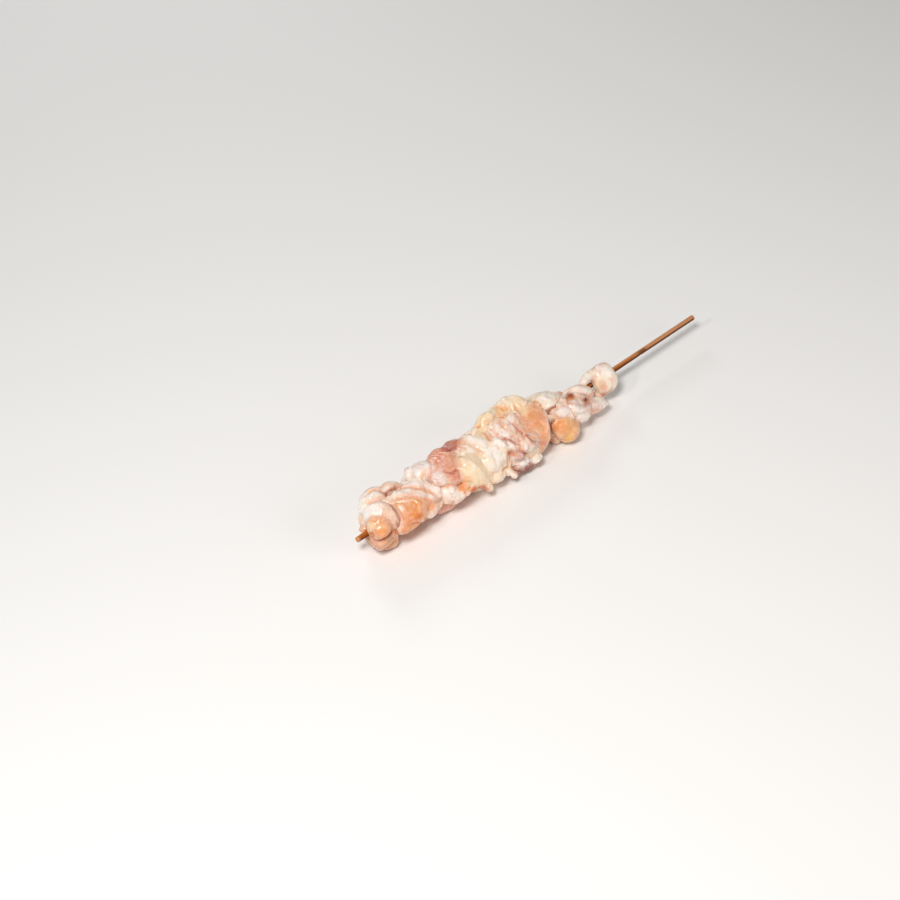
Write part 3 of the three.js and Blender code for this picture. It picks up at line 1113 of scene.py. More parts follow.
    def _paint(self, surface: Surface, tints: list, marks: list, bases: dict) -> None:
        """Gives each point its colour, with painted shade in dips, pits, seams and on the underside
        and painted highlight on crests.

        Args:
            surface: The raised surface.
            tints: The tones of the relief, each with its share at each point.
            marks: The tones of the patches and strokes, in the same form.
            bases: The main tone of each piece, which its neighbours take on where they touch it.
        """
        shade = self.shading
        dip = surface.hollows(shade.near_rounds)
        broad = surface.hollows(shade.broad_rounds)
        gap, names = Neighbours(self.node).nearest(surface.points)
        names = np.array(names)
        touch = smoothstep(*shade.touch_gap, gap + shade.touch_waver * surface.bend[:, 0])
        for name in set(names) & set(bases):
            tints.append((bases[name], shade.touch * touch * (names == name)))
        # painted highlight on crests
        crest_highlight = shade.crest * np.clip(-dip, 0, shade.crest_top)
        crest_highlight += shade.broad_crest_highlight * np.clip(-broad, 0, shade.broad_top)
        # painted shade on the underside
        hidden = smoothstep(*shade.shaded_underside_turn, np.abs(surface.places[:, 1]))
        # painted shade in dips
        dip_shade = shade.dip * np.clip(dip, 0, shade.dip_top)
        dip_shade += shade.broad_dip_shade * np.clip(broad, 0, shade.broad_top)
        # painted shade deep in narrow creases
        pit_shade = np.clip(dip - shade.pit_start, 0, shade.pit_top)
        layers = [
            *tints,
            (Tone.WHITE, crest_highlight),
            (self.hollow_shade, shade.hidden * hidden),
            *marks,
            (self.hollow_shade, dip_shade),
            # painted shade where the piece meets its neighbours
            (self.hollow_shade, shade.seam * smoothstep(*shade.seam_gap, gap)),
            (Tone.TAN, shade.pit_shade_share * pit_shade),
        ]
        tone = np.tile(self.base.linear(), (len(gap), 1))
        for over, share in layers:
            share = np.clip(share, 0, 1)[:, None]
            tone = tone * (1 - share) + over.linear() * share
        color = np.concatenate([tone, np.ones((len(tone), 1))], 1)
        layer = surface.mesh.attributes.new("tone", "FLOAT_COLOR", "POINT")
        layer.data.foreach_set("color", color.astype(np.float32).ravel())

    def build(
        self, axis: StickAxis, groups: TissueGroups, whole: "Whole", bases: dict
    ) -> bpy.types.Object:
        """Makes the finished piece.

        Args:
            axis: The stick's axis.
            groups: The shared node groups.
            whole: All the meat as one smooth form.
            bases: The main tone of each piece.

        Returns:
            The piece, which rides on the root and replaces its solid.
        """
        piece = even_form(self.node + "_look", self.rough(axis), self.voxel, self.smooth)
        mesh = piece.data
        surface = Surface(mesh, axis, self.seed)
        surface.fill(whole, self.fill)
        self._paint(surface, *self._shape(surface), bases)
        mesh.shade_smooth()
        mesh.materials.clear()
        mesh.materials.append(self.finish.material(groups))
        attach(piece, "root")
        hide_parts(self.node)
        LOG.info("%s: %d faces", piece.name, len(mesh.polygons))
        return piece


class Whole:
    """All the meat as one smooth form, which the pieces meet where they touch."""

    VOXEL = 0.6
    SMOOTH = 60
    REACH = 2.4  # mm that a point is moved at most
    LIMIT = (5.0, 2.0)  # mm at which the moves end, and over which they fade

    def __init__(self, tissues: list[Tissue], axis: StickAxis) -> None:
        """Joins the rough forms of all pieces.

        Args:
            tissues: The pieces.
            axis: The stick's axis.
        """
        shape = bmesh.new()
        for tissue in tissues:
            rough = tissue.rough(axis)
            shape.from_mesh(rough)
            bpy.data.meshes.remove(rough)
        joined = even_form("whole", mesh_from("whole_rough", shape), self.VOXEL, self.SMOOTH)
        shape = bmesh.new()
        shape.from_mesh(joined.data)
        self.tree = BVHTree.FromBMesh(shape)
        shape.free()
        bpy.data.meshes.remove(joined.data)

    def steps_from(self, points: np.ndarray) -> np.ndarray:
        """Finds the steps that bring points just under the form out to it.

        Args:
            points: The points in metres.

        Returns:
            One step for each point, in metres.
        """
        steps = np.zeros_like(points)
        end, run = self.LIMIT
        for number, point in enumerate(points):
            near, normal, _, away = self.tree.find_nearest(point)
            rise = (near - Vector(point)).dot(normal) / MM
            if rise > 0:
                share = min(rise, self.REACH) * max(0.0, min(1.0, (end - away / MM) / run))
                steps[number] = MM * share * normal
        return steps


class Neighbours:
    """The other solids round a piece, to find the nearest one and how far off it is."""

    def __init__(self, node: str) -> None:
        """Gathers every solid but one.

        Args:
            node: The piece's own node.
        """
        shape = bmesh.new()
        self.names = []
        for name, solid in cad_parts.items():
            if name != node:
                shape.from_mesh(solid.data)
                self.names += [name] * (len(shape.faces) - len(self.names))
        self.tree = BVHTree.FromBMesh(shape)
        shape.free()

    def nearest(self, points: np.ndarray) -> tuple[np.ndarray, list[str]]:
        """The gap in mm from each point to the nearest solid, and that solid's name."""
        found = [self.tree.find_nearest(point) for point in points]
        return np.array([hit[3] for hit in found]) / MM, [self.names[hit[2]] for hit in found]


# ---- the stick -----------------------------------------------------------------------------------


@dataclass
class Stick:
    """The bamboo stick with its fibres and notches, in mm."""

    radius: float = 1.5
    sides: int = 40
    rings: int = 260
    rim: float = 0.3
    seed: int = 7
    fibre: float = 0.07
    fibre_long: float = 18.0
    ripple_long: float = 2.5
    notches: tuple = (23.0, 171.0, 206.5, 229.0)
    notch_depth: float = 0.22
    notch_long: float = 0.5
    notch_turn: float = 1.9  # radians from one notch to the next
    core: tuple = (0.4, 1.2)  # the reach inside which the ends' faces stay flat

    def build(self, axis: StickAxis) -> bpy.types.Object:
        """Makes the finished stick.

        Args:
            axis: The stick's axis.

        Returns:
            The stick, which rides on the root and replaces its solid.
        """
        shape = bmesh.new()
        middle = axis.tip + Vector((axis.length / 2, 0, 0))
        lying = Matrix.Rotation(math.radians(90), 4, "Y")
        bmesh.ops.create_cone(
            shape,
            cap_ends=True,
            segments=self.sides,
            radius1=self.radius * MM,
            radius2=self.radius * MM,
            depth=axis.length,
            matrix=Matrix.Translation(middle) @ lying,
        )
        spans = {e: abs(e.verts[0].co.x - e.verts[1].co.x) for e in shape.edges}
        bmesh.ops.bevel(
            shape,
            geom=[edge for edge, span in spans.items() if span < TINY],
            offset=self.rim * MM,
            segments=2,
            profile=0.5,
            affect="EDGES",
            material=-1,
        )
        spans = {e: abs(e.verts[0].co.x - e.verts[1].co.x) for e in shape.edges}
        long = [edge for edge, span in spans.items() if span > axis.length / 2]
        bmesh.ops.subdivide_edges(shape, edges=long, cuts=self.rings, use_grid_fill=False)
        noise = Noise(self.seed)
        points = np.array([v.co for v in shape.verts])
        local = (points - np.array(axis.tip)) / MM
        along = local[:, :1]
        reach = np.hypot(local[:, 1], local[:, 2])
        out = local[:, 1:] / np.maximum(reach, TINY)[:, None]
        move = self.fibre * noise(np.hstack([along / self.fibre_long, 4 * out]))
        move += 0.5 * self.fibre * noise(np.hstack([along / self.ripple_long, 9 * out]))
        for number, notch in enumerate(self.notches):
            across = np.exp(-(((local[:, 0] - notch) / self.notch_long) ** 2))
            angle = number * self.notch_turn
            side = smoothstep(-0.2, 0.9, out @ np.array((math.cos(angle), math.sin(angle))))
            move -= self.notch_depth * across * side
        share = smoothstep(*self.core, reach) * MM * move
        for vertex, (y, z), step in zip(shape.verts, out, share):
            vertex.co += Vector((0, y * step, z * step))
        mesh = mesh_from("stick_look", shape)
        mesh.shade_smooth()
        piece = linked("stick_look", mesh)
        finish = BambooFinish()
        mesh.materials.append(finish.material(axis))
        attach(piece, "root")
        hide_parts("stick")
        LOG.info("%s: %d faces", piece.name, len(mesh.polygons))
        return piece


# ---- the studio ----------------------------------------------------------------------------------


@dataclass(frozen=True)
class SoftLight:
    """A soft square light that points at the skewer."""

    name: str
    where: tuple
    size: float
    power: float
    tint: tuple = (1.0, 1.0, 1.0)

    def build(self) -> None:
        """Makes the light."""
        data = bpy.data.lights.new(self.name, "AREA")
        data.size = self.size
        data.energy = self.power
        data.color = self.tint
        light = linked(self.name, data)
        light.location = self.where
        light.rotation_euler = (-Vector(self.where)).to_track_quat("-Z", "Y").to_euler()


@dataclass
class Studio:
    """The pale floor, the soft lights and the camera."""

    floor_size: float = 6.0
    floor_tone: tuple = (0.93, 0.925, 0.92, 1)
    floor_roughness: float = 0.8
    sky: tuple = (1.0, 0.985, 0.97, 1)
    sky_strength: float = 0.18
    lights: tuple = (
        SoftLight("window", (-0.5, -0.3, 0.9), 0.25, 7.0, (1.0, 0.98, 0.945)),
        SoftLight("spark", (-0.8, -0.1, 0.75), 0.06, 1.4),
        SoftLight("fill", (0.35, -0.9, 0.5), 0.5, 2.2, (1.0, 0.95, 0.9)),
        SoftLight("rim", (0.3, 0.9, 0.6), 0.35, 2.0),
    )
    eye: tuple = (-0.54813, -0.59863, 0.76495)
    elevation: float = 43.95
    azimuth: float = -39.226
    roll: float = -3.68
    lens: float = 82.28
    clip_start: float = 0.05

    def _floor(self) -> None:
        """Makes the floor."""
        shape = bmesh.new()
        bmesh.ops.create_grid(shape, x_segments=1, y_segments=1, size=self.floor_size / 2)
        mesh = mesh_from("floor", shape)
        floor = linked("floor", mesh)
        material = bpy.data.materials.new("pale_floor")
        material.use_nodes = True
        shader = material.node_tree.nodes["Principled BSDF"]
        shader.inputs["Base Color"].default_value = self.floor_tone
        shader.inputs["Roughness"].default_value = self.floor_roughness
        mesh.materials.append(material)

    def _room(self) -> None:
        """Makes the light of the room, and the lights."""
        world = bpy.data.worlds.new("soft_room")
        world.use_nodes = True
        background = world.node_tree.nodes["Background"]
        background.inputs["Color"].default_value = self.sky
        background.inputs["Strength"].default_value = self.sky_strength
        bpy.context.scene.world = world
        for light in self.lights:
            light.build()
        bpy.context.scene.view_settings.view_transform = "Standard"

    def _camera(self, axis: StickAxis) -> bpy.types.Object:
        """Makes the camera.

        Args:
            axis: The stick's axis, whose middle the eye is set from.

        Returns:
            The camera.
        """
        data = bpy.data.cameras.new("camera")
        data.lens = self.lens
        data.clip_start = self.clip_start
        camera = linked("camera", data)
        tilt = Matrix.Rotation(math.radians(90 - self.elevation), 4, "X")
        turn = Matrix.Rotation(math.radians(self.azimuth), 4, "Z")
        roll = Matrix.Rotation(math.radians(self.roll), 4, "Z")
        middle = axis.tip + Vector((axis.length / 2, 0, 0))
        camera.matrix_world = Matrix.Translation(middle + Vector(self.eye)) @ turn @ tilt @ roll
        return camera

    def build(self, axis: StickAxis) -> None:
        """Makes the floor, the lights and the camera.

        Args:
            axis: The stick's axis.
        """
        self._floor()
        self._room()
        camera = self._camera(axis)
        bpy.context.scene.camera = camera
        LOG.info("studio: camera at %s", tuple(round(c, 4) for c in camera.location))


# ---- the pieces ----------------------------------------------------------------------------------

SMOOTH = Relief(lump=0.5, fold=0.2, wrinkle=0.1, lobe=0.0, grain=0.05)
SOFT = Relief(lump=0.7, fold=0.4, wrinkle=0.25, lobe=0.0, grain=0.07)
SILKY = Relief(lump=0.8, fold=0.6, wrinkle=0.35, lobe=0.1, grain=0.08)
KNOBBLY = Relief(lump=1.0, fold=0.7, wrinkle=0.3, lobe=0.4, grain=0.07)

# The glossy ball, its collar of skin, and the wet lump in layered skin behind them.
TIP_PIECES = (
    Tissue(
        "tip_flesh", FLESH, Tone.APRICOT, SMOOTH, (Tone.HONEY, Tone.PINK), hollow_shade=Tone.TAN, seed=14,
        # the rose crease and the tan patch under the ball are painted shade between the ball and the
        # lump below
        strokes=(crease([(6, 82), (8, 76), (12, 74), (17, 75)], 1.2, 0.8, Tone.ROSE),),
        patches=(
            Patch(Tone.BUTTER, 5, 27, 6, 5, 0.9, 88), Patch(Tone.HONEY, 10, 60, 14, 7, 0.6, 23),
            Patch(Tone.PINK, 6, 96, 9, 5, 0.6, -79), Patch(Tone.TAN, 14, 97, 9, 5, 0.5, 67),
        ),
        beads=(Bead(9.5, 48, 10, 9, 7, -1.6), Bead(10, -117, 6, 3, 4)),
    ),
    Tissue(
        "collar_skin", SKIN, Tone.SKIN, SMOOTH, (Tone.IVORY, Tone.WHITE), hollow_shade=Tone.PINK, seed=1,
        # the tan creases and patches are painted shade along the collar's edges and in its grooves
        strokes=(
            ridge([(11, -61), (10.5, 2), (13.5, 16)], 3.5, 0.4, Tone.WHITE),
            ridge([(13, 12), (14.5, 22), (16, 35), (18, 55)], 3.5, 0.4, Tone.SKIN),
            crease([(21, 5), (20, 31), (21, 58), (20, 71)], 0.8, 0.7, Tone.TAN),
            crease([(10, -20), (14, -13), (19, -9), (22, -6)], 0.9, 0.7, Tone.SKIN),
            crease([(22, -7), (25, -8), (28, -8), (32, -14), (33, -20)], 1.1, 1.2, Tone.TAN),
            crease([(23, -28), (22, -12)], 0.7, 0.8, Tone.ROSE),
            crease([(14, -26), (19, -32), (23, -29)], 0.7, 0.7, Tone.APRICOT),
        ),
        patches=(
            Patch(Tone.WHITE, 11, -6, 15, 14, 1.0), Patch(Tone.IVORY, 10, -62, 9, 4, 0.8, -84),
            Patch(Tone.PINK, 18, 37, 9, 3, 0.5, 80), Patch(Tone.LILAC, 17, 52, 6, 4, 0.6, 74),
            Patch(Tone.IVORY, 15, -44, 10, 4), Patch(Tone.TAN, 21, -41, 7, 2, 0.6),
            Patch(Tone.WHITE, 14, -24, 14, 9, 0.8, -12), Patch(Tone.SKIN, 27, -31, 7, 6, 0.7, 82),
            Patch(Tone.WHITE, 26, -21, 4, 3, 0.6, 17), Patch(Tone.TAN, 27, -12, 9, 3, 0.9),
            Patch(Tone.TAN, 19, 63, 9, 3, 0.9, 74),
        ),
    ),
    Tissue(
        "layer_skin", SKIN, Tone.SKIN, SOFT, (Tone.APRICOT, Tone.WHITE), hollow_shade=Tone.APRICOT,
        seed=2,
        strokes=(
            ridge([(25, -11), (30, 13), (37, 33), (43, 53), (44, 71)], 2.8, 1.0, Tone.WHITE),
            ridge([(37, -15), (42, 13), (46, 34), (47, 55)], 2.8, 0.9, Tone.WHITE),
            crease([(28, -20), (33, -5), (38, 18), (43, 37), (46, 61)], 0.9, 0.5, Tone.PINK),
            crease([(22, 10), (27, 13), (32, 27), (37, 41), (41, 57), (40, 77)], 0.8, 0.6, Tone.PINK),
        ),
        # the tan patches are painted shade in grooves and under the sheets
        patches=(
            Patch(Tone.IVORY, 26, 4, 8, 4, 0.8, 12), Patch(Tone.WHITE, 34, -2, 11, 7, 0.8, 90),
            Patch(Tone.APRICOT, 36, -18, 6, 4, 0.6, 20), Patch(Tone.TAN, 27, -8, 9, 3, 0.9, -4),
            Patch(Tone.LILAC, 36, 31, 8, 3, 0.6, 46), Patch(Tone.IVORY, 39, 29, 6, 3, 0.6, 45),
            Patch(Tone.HONEY, 39, 57, 12, 10, 0.9), Patch(Tone.WHITE, 44, 41, 7, 5, 0.7, -35),
            Patch(Tone.TAN, 45.5, 65, 7, 4, 0.8, 20), Patch(Tone.WHITE, 36, 1, 10, 6, 0.8, 77),
            Patch(Tone.WHITE, 38, -26, 9, 7, 0.8, 49),
        ),
    ),
    Tissue(
        "peach_flesh", FLESH, Tone.HONEY, SMOOTH, (Tone.PEACH, Tone.APRICOT), seed=15,
        strokes=(
            lip([(23, 71), (28, 72), (36, 95), (39, 75), (41, 63), (40, 50)], 2.2, 0.7),
            crease([(20, 21), (22, 32), (22, 49), (22, 62)], 0.7, 0.5),
            ridge([(23, 39), (23, 29), (25, 29), (25, 37)], 1.2, 0.5, Tone.APRICOT),
            crease([(29, 18), (31, 29), (32, 41), (31, 52)], 0.7, 0.5, Tone.HONEY),
            ridge([(31, 33), (33, 41), (35, 49)], 1.5, 0.5, Tone.APRICOT),
        ),
        patches=(
            # the small white patch is a painted glint on the wet flesh
            Patch(Tone.APRICOT, 23, 23, 7, 5), Patch(Tone.WHITE, 24, 33, 4, 3, 0.6, 87),
            Patch(Tone.APRICOT, 33, 43, 6, 4, 0.6), Patch(Tone.ORANGE, 27, 68, 13, 4, 0.4),
            Patch(Tone.PINK, 37, 64, 8, 4, 0.6),
        ),
    ),
    Tissue(
        "pale_knob", SKIN, Tone.WHITE, SMOOTH, (Tone.WHITE,), hollow_shade=Tone.PINK, seed=3,
        patches=(
            Patch(Tone.LILAC, 48, -18, 7, 5, 0.4, 63), Patch(Tone.APRICOT, 47, -2, 6, 2, 0.6),
            Patch(Tone.TAN, 44, -36, 5, 2, 0.4, -17),
        ),
        beads=(Bead(44, -36, 5, 3, 4, 0, -28),),
    ),
)

# The salmon lump, the white roll, the yellow lobe and the cream fat.
MIDDLE_PIECES = (
    Tissue(
        "salmon_flesh", PINK_FLESH, Tone.PINK, SMOOTH, (Tone.SALMON, Tone.PEACH),
        hollow_shade=Tone.SALMON, seed=16,
        strokes=(
            ridge([(51, -5), (56, -27), (62, -28), (67, -19)], 2.0, 0.5, Tone.PINK),
            lip([(73, 11), (70, 0), (66, -5), (63, -19), (59, -29)], 1.8, 0.8),
            crease([(76, -55), (73, -16), (73, 2)], 0.8, 0.8, Tone.ROSE),
            crease([(56, 22), (58, 30), (60, 33), (63, 30)], 0.6, 0.6, Tone.ROSE),
            crease([(52, -18), (51, -6), (50, 7)], 0.7, 0.6, Tone.ORANGE),
        ),
        patches=(
            Patch(Tone.WHITE, 52, 27, 8, 7, 0.8, 85), Patch(Tone.LILAC, 55, 18, 4, 3, 0.5),
            Patch(Tone.ORANGE, 51, -2, 7, 3, 0.4, -62), Patch(Tone.SKIN, 58, 38, 9, 5, 0.6),
            Patch(Tone.TAN, 61, -27, 10, 3, 0.5), Patch(Tone.ROSE, 69, -19, 10, 7, 1.0, 20),
            Patch(Tone.SALMON, 60, 40, 8, 5, 0.8, 4), Patch(Tone.SALMON, 59, -11, 11, 8, 0.7, -11),
            Patch(Tone.TAN, 60, 61, 7, 2.5, 0.7), Patch(Tone.SALMON, 65, 6, 7, 4, 0.4, -56),
        ),
        beads=(Bead(52, 27, 9, 8, 2.4, -0.2),),
    ),
    Tissue(
        "white_roll", CREAM_FAT, Tone.SKIN, SILKY, (Tone.WHITE, Tone.APRICOT), seed=5,
        strokes=(
            crease([(61, 87), (62, 77), (65, 76), (65, 58)], 0.9, 1.0, Tone.APRICOT),
            ridge([(52, 80), (57, 86), (62, 86), (67, 86)], 1.4, 0.8),
        ),
        patches=(
            Patch(Tone.WHITE, 52, 58, 8, 5, 0.8, 14), Patch(Tone.WHITE, 54, 78, 8, 4, 0.6, 32),
            Patch(Tone.HONEY, 62, 72, 7, 2.5, 0.8, 8), Patch(Tone.SKIN, 65, 80, 9, 4, 0.9),
            Patch(Tone.PINK, 60, 88, 9, 3, 0.6), Patch(Tone.ORANGE, 68, 88, 7, 5, 1.0, 20),
            Patch(Tone.WHITE, 61, 84, 8, 4, 0.8, 10),
        ),
        beads=(Bead(63, 78, 8, 4, 4, -0.5), Bead(67, 83, 7, 5, 4)),
    ),
    Tissue(
        "yellow_fat", YELLOW_FAT, Tone.BUTTER, SMOOTH, (Tone.IVORY, Tone.CREAM),
        hollow_shade=Tone.APRICOT, seed=4, swell=0.6, fill=0.9,
        patches=(
            # the orange patch under the white roll's end and the tan one at the drip's foot are
            # painted shade
            Patch(Tone.IVORY, 70, 38, 10, 7, 0.6, -74), Patch(Tone.APRICOT, 65, 58, 5, 3, 0.5, 77),
            Patch(Tone.ORANGE, 71.5, 96, 9, 6, 1.0, 35), Patch(Tone.TAN, 77, 110, 6, 5, 0.6),
        ),
        beads=(Bead(77, 104, 8, 3.5, 4, 0, 58),),
    ),
    Tissue(
        "cream_fat", CREAM_FAT, Tone.IVORY, SOFT, (Tone.WHITE, Tone.CREAM, Tone.PINK),
        hollow_shade=Tone.APRICOT, seed=17,
        strokes=(
            crease([(76, -15), (79, 8), (81, 29)], 1.2, 0.4, Tone.SKIN),
            ridge([(81, -22), (83, 4), (86, 25)], 2.5, 0.6, Tone.WHITE),
            ridge([(80, 40), (82, 63), (84, 89)], 3.5, 0.8, Tone.IVORY),
            crease([(90, -13), (90, 6), (89, 29)], 0.8, 0.6, Tone.PINK),
            ridge([(89, 22), (91, 33), (93, 44), (96, 53)], 1.6, 1.0, Tone.WHITE),
            crease([(92, 74), (93, 62), (96, 61), (98, 57)], 0.9, 1.2, Tone.APRICOT),
            crease([(86, 94), (88, 88), (92, 88), (93, 76)], 0.8, 1.0),
        ),
        patches=(
            Patch(Tone.SALMON, 74, -22, 12, 9, 0.7, 30), Patch(Tone.ROSE, 73, -32, 11, 10, 0.9, 20),
            Patch(Tone.WHITE, 83, 50, 14, 13, 0.9, 21), Patch(Tone.IVORY, 85, 89, 12, 6, 0.9),
            Patch(Tone.WHITE, 79, 4, 8, 6, 0.8, -53), Patch(Tone.LILAC, 77, -9, 4, 3, 0.5, -57),
            Patch(Tone.WHITE, 83, 19, 7, 4, 0.6), Patch(Tone.WHITE, 91, 33, 9, 6, 0.9, -44),
            Patch(Tone.APRICOT, 90, 11, 6, 3, 0.7, -19), Patch(Tone.CREAM, 80, 41, 7, 4, 0.5, -81),
        ),
        beads=(Bead(94.5, 109, 7, 3, 4, 0, 51), Bead(91, 33, 8, 5, 3, -0.3, 51)),
    ),
)

# The marbled chunk with the roll of fat above it and the flap beside it.
MARBLED_PIECES = (
    Tissue(
        "marbled_flesh", PINK_FLESH, Tone.SKIN, SILKY, (Tone.PINK, Tone.IVORY, Tone.WHITE),
        hollow_shade=Tone.SALMON, seed=18, fill=1.0,
        strokes=(
            ridge([(91, 19), (93, 28), (96, 45), (99, 59)], 2.4, 0.8, Tone.WHITE),
            ridge([(101, 1), (102, 25), (104, 48), (108, 69)], 2.4, 0.6, Tone.SKIN),
            crease([(94, 20), (97, 35), (99, 48), (101, 57)], 0.7, 0.7, Tone.ROSE),
            crease([(105, 17), (106, 33), (108, 50), (112, 68)], 0.5, 0.6, Tone.ROSE),
            crease([(90, 15), (90, 35), (94, 52), (97, 65)], 0.9, 0.6, Tone.ROSE),
            crease([(99, 64), (103, 77), (105, 89)], 0.9, 1.2, Tone.ORANGE),
            ridge([(93, 94), (99, 96), (103, 101)], 2.0, 0.8, Tone.WHITE),
            ridge([(107, 92), (109, 78), (113, 82)], 2.4, 0.8, Tone.WHITE),
            crease([(101, 109), (108, 111)], 0.9, 1.2, Tone.BLOOD),
        ),
        patches=(
            Patch(Tone.WHITE, 96, 27, 10, 6, 0.9, 90), Patch(Tone.IVORY, 99, 53, 6, 4, 0.7, 67),
            Patch(Tone.PINK, 107, 40, 9, 4, 0.7, 85), Patch(Tone.APRICOT, 105, -5, 6, 3, 0.7, 10),
            Patch(Tone.HONEY, 100, 10, 3, 2, 0.6), Patch(Tone.ROSE, 108, 60, 7, 2, 0.6, 90),
            Patch(Tone.LILAC, 98, 70, 7, 5, 0.9, 30), Patch(Tone.APRICOT, 96, 62, 3, 2, 0.6, -67),
            Patch(Tone.WHITE, 111, 104, 12, 7, 0.9), Patch(Tone.IVORY, 109, 92, 8, 6),
            # the brown patch in this row is painted shade in a hole among the folds
            Patch(Tone.BROWN, 103, 80, 4, 2, 0.8, 57), Patch(Tone.ROSE, 109, 58, 9, 3, 0.9, 64),
            Patch(Tone.TAN, 97, 105, 4, 3, 0.6, 73), Patch(Tone.WHITE, 103, 101, 8, 6, 0.9, 7),
            Patch(Tone.IVORY, 107, 79, 7, 7, 0.9), Patch(Tone.BLOOD, 104, 117, 21, 6, 1.0),
        ),
        beads=(
            Bead(97.5, 70, 6, 4, 4, 0.6, 31), Bead(103, 101, 6, 4, 4, 0.6, 17),
            Bead(106.5, 83, 6, 4, 4, 0.6, -69), Bead(111, 105, 7, 4, 5, 1.5),
            Bead(113.5, 81, 7, 3.5, 5, 1.5, 58), Bead(105, 115, 15, 5, 4),
        ),
    ),
    Tissue(
        "cream_cap", CREAM_FAT, Tone.CREAM, SOFT, (Tone.BUTTER, Tone.IVORY), hollow_shade=Tone.APRICOT,
        seed=6,
        strokes=(
            crease([(90, -21), (91, -13)], 0.9, 0.9, Tone.APRICOT),
            crease([(106.5, -28), (107, -18), (111, -13)], 0.8, 0.7, Tone.APRICOT),
            crease([(113, -13), (117, -6), (115, 18)], 0.7, 0.5, Tone.BUTTER),
        ),
        patches=(
            Patch(Tone.BUTTER, 96, -18, 10, 4, 0.8, -10),
            Patch(Tone.IVORY, 113, -20, 9, 5, 0.8, -9), Patch(Tone.YELLOW, 106, -15, 6, 2, 0.5),
            Patch(Tone.PINK, 119, -7, 4, 3, 0.5), Patch(Tone.HONEY, 114.5, -4, 5, 5),
            Patch(Tone.IVORY, 87, -17, 4, 3, 0.7, 34), Patch(Tone.IVORY, 117, -6, 6, 6, 0.9, 14),
        ),
        beads=(Bead(87.5, -17, 5, 3, 4), Bead(98.5, -19, 12, 4, 4, 0, -7)),
    ),
    Tissue(
        "peach_flap", FLESH, Tone.PEACH, SMOOTH, (Tone.APRICOT, Tone.PINK), hollow_shade=Tone.PEACH,
        seed=7, fill=1.0,
        strokes=(
            lip([(122, 88), (123, 62), (125, 42)], 2.5, 0.7),
            crease([(111, 48), (113, 68), (119, 94)], 0.7, 0.4, Tone.SALMON),
        ),
        patches=(
            Patch(Tone.BUTTER, 115, 8, 11, 6, 0.7, -20),
            Patch(Tone.PINK, 111.5, 38, 16, 5, 0.7, -78), Patch(Tone.SKIN, 111, 68, 12, 5, 0.7, 72),
            Patch(Tone.PINK, 118, 82, 8, 5, 0.6, 52), Patch(Tone.IVORY, 110, 89, 13, 8, 0.9, 49),
            # the thin brown patch is painted shade along the flap's edge
            Patch(Tone.BROWN, 125, 61, 12, 2.5, 0.8, -74),
        ),
    ),
)

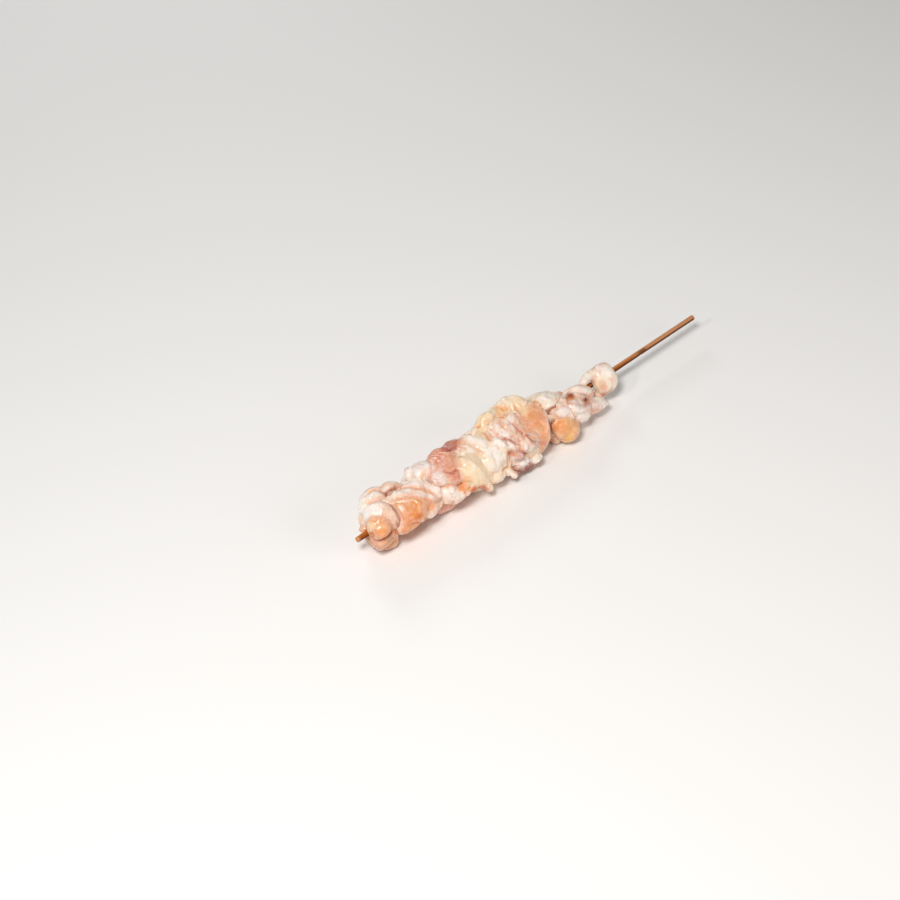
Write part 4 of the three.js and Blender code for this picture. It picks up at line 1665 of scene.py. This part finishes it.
# The ruffle, the white folds with their blob, and the two loops at the handle.
HANDLE_PIECES = (
    Tissue(
        "ivory_ruffle", CREAM_FAT, Tone.IVORY, SOFT, (Tone.WHITE, Tone.CREAM), hollow_shade=Tone.TAN,
        seed=13,
        strokes=(
            # the tan crease and the brown and tan patches are painted shade under the ruffle's edge
            ridge([(126, 20), (131, 8), (137, 4), (141, 19)], 3.0, 0.6, Tone.WHITE),
            crease([(122, 33), (130, 33), (135, 34), (140, 32)], 0.8, 0.7, Tone.TAN),
            crease([(127, -14), (128, 8), (128, 18)], 0.7, 0.7, Tone.APRICOT),
        ),
        patches=(
            Patch(Tone.TAN, 126, 6, 7, 3, 0.6, -88), Patch(Tone.WHITE, 132, 6, 8, 4, 0.6, -10),
            Patch(Tone.WHITE, 133, 29, 7, 3, 0.5), Patch(Tone.BROWN, 129, 40, 6, 4, 0.9, -65),
        ),
    ),
    Tissue(
        "end_folds", SKIN, Tone.SKIN, SOFT, (Tone.WHITE, Tone.PINK), hollow_shade=Tone.APRICOT, seed=19,
        strokes=(
            # the tan and rose creases and the brown and tan patches are painted shade in the gap by
            # the small loop, under the loop and beside the blob
            lip([(141, 79), (140, 59), (140, 44), (143, 34)], 2.0, 0.7, Tone.PINK),
            crease([(130, 36), (134, 41), (138, 45), (140, 56)], 1.0, 1.0, Tone.PINK),
            crease([(138, 62), (139, 84), (142, 95)], 0.9, 0.9, Tone.APRICOT),
            crease([(141, 40), (143, 51), (148, 63), (153, 72)], 0.9, 0.9, Tone.LILAC),
            ridge([(131, 56), (135, 49), (139, 62), (139, 85)], 3.0, 0.8, Tone.WHITE),
            ridge([(141, 52), (145, 69), (147, 84)], 3.0, 0.8, Tone.WHITE),
            ridge([(154, 78), (160, 87), (168, 108)], 2.0, 0.7, Tone.WHITE),
            crease([(143, 31), (145, 38), (147, 47)], 1.3, 1.3, Tone.TAN),
            crease([(150, 58), (154, 68), (157, 80)], 1.0, 1.2, Tone.ROSE),
        ),
        patches=(
            Patch(Tone.WHITE, 136, 49, 7, 5, 0.6, -17), Patch(Tone.WHITE, 146, 60, 10, 6, 0.8, 33),
            Patch(Tone.IVORY, 150, 84, 10, 5, 0.6, 20), Patch(Tone.APRICOT, 131, 53, 4, 4, 0.5),
            Patch(Tone.WHITE, 148, 95, 12, 7, 0.8, 59), Patch(Tone.IVORY, 164, 101, 9, 5, 0.8, 42),
            Patch(Tone.BROWN, 129, 78, 13, 5, 0.9, -88), Patch(Tone.TAN, 146, 35, 8, 5, 1.0, -17),
            Patch(Tone.BROWN, 146, 35, 5, 3, 0.5, -17), Patch(Tone.PINK, 157, 91, 11, 4, 0.6, 15),
            Patch(Tone.LILAC, 155, 85, 9, 3, 0.7, 26), Patch(Tone.WHITE, 165, 108, 10, 6, 0.8, 35),
            Patch(Tone.TAN, 155.5, 70, 11, 1.8, 0.9, 44),
            Patch(Tone.CREAM, 132, 133, 9, 4, 0.7, 70),
        ),
        beads=(
            Bead(136, 49, 9, 7, 4, 0, -17), Bead(131.5, 133, 9, 5, 5, 0, 70),
            Bead(148.5, 95, 14, 7, 5, 0.3, 26),
        ),
    ),
    Tissue(
        "orange_blob", YELLOW_FAT, Tone.APRICOT, SMOOTH, (Tone.YELLOW, Tone.PEACH), seed=8,
        smooth=50, swell=0.8, fill=1.0,
        patches=(
            Patch(Tone.HONEY, 131, 74, 8, 7, 0.65, -7), Patch(Tone.YELLOW, 134, 106, 6, 5, 0.8, 76),
            Patch(Tone.PINK, 139, 88, 5, 3, 0.4, 13),
        ),
        beads=(Bead(134, 91, 11, 13, 7, -2.9),),
    ),
    Tissue(
        "small_loop", SKIN, Tone.IVORY, SMOOTH, (Tone.LILAC, Tone.PINK), seed=9,
        strokes=(
            ridge([(148, 16), (152, 23), (156, 38), (160, 61)], 2.0, 0.5, Tone.WHITE),
            crease([(148, 36), (153, 44), (158, 60)], 0.6, 0.4, Tone.LILAC),
        ),
        patches=(
            Patch(Tone.LILAC, 155, 48, 8, 3, 0.6, 45), Patch(Tone.PINK, 159, 60, 4, 3, 0.5, 35),
            # the tan patch is painted shade in the gap at the loop's end
            Patch(Tone.TAN, 147.5, 20, 5, 3, 0.7, -16),
        ),
    ),
    Tissue(
        "big_loop", SKIN, Tone.IVORY, SMOOTH, (Tone.CREAM, Tone.PINK), seed=10,
        strokes=(
            ridge([(168, 10), (175, 5), (178, 34), (179, 82), (175, 105)], 3.5, 0.6, Tone.WHITE),
        ),
        patches=(
            # the tan patch is painted shade in the gap under the loop
            Patch(Tone.TAN, 173, 105, 10, 5, 0.5, -60), Patch(Tone.WHITE, 164, 8, 8, 6, 0.7, 26),
            Patch(Tone.WHITE, 175, 30, 12, 5, 0.5, 90), Patch(Tone.PINK, 171, 63, 11, 3, 0.4, 87),
        ),
    ),
)

# The strips of fat and skin on the side away from the front.
BACK_PIECES = (
    Tissue(
        "back_fat", CREAM_FAT, Tone.CREAM, KNOBBLY, (Tone.IVORY, Tone.PINK), seed=11,
    ),
    Tissue(
        "back_skin", SKIN, Tone.SKIN, SILKY, (Tone.WHITE, Tone.APRICOT), seed=12,
        patches=(Patch(Tone.ROSE, 74, -45, 14, 12),),
    ),
)


def main() -> None:
    """Builds the studio, the stick and each piece of meat."""
    logging.basicConfig(level=logging.INFO, format="%(name)s %(message)s")
    axis = StickAxis()
    Studio().build(axis)
    Stick().build(axis)
    groups = TissueGroups()
    pieces = [*TIP_PIECES, *MIDDLE_PIECES, *MARBLED_PIECES, *HANDLE_PIECES, *BACK_PIECES]
    bases = {tissue.node: tissue.base for tissue in pieces}
    whole = Whole(pieces, axis)
    for tissue in pieces:
        tissue.build(axis, groups, whole, bases)


if __name__ == "__main__":
    main()
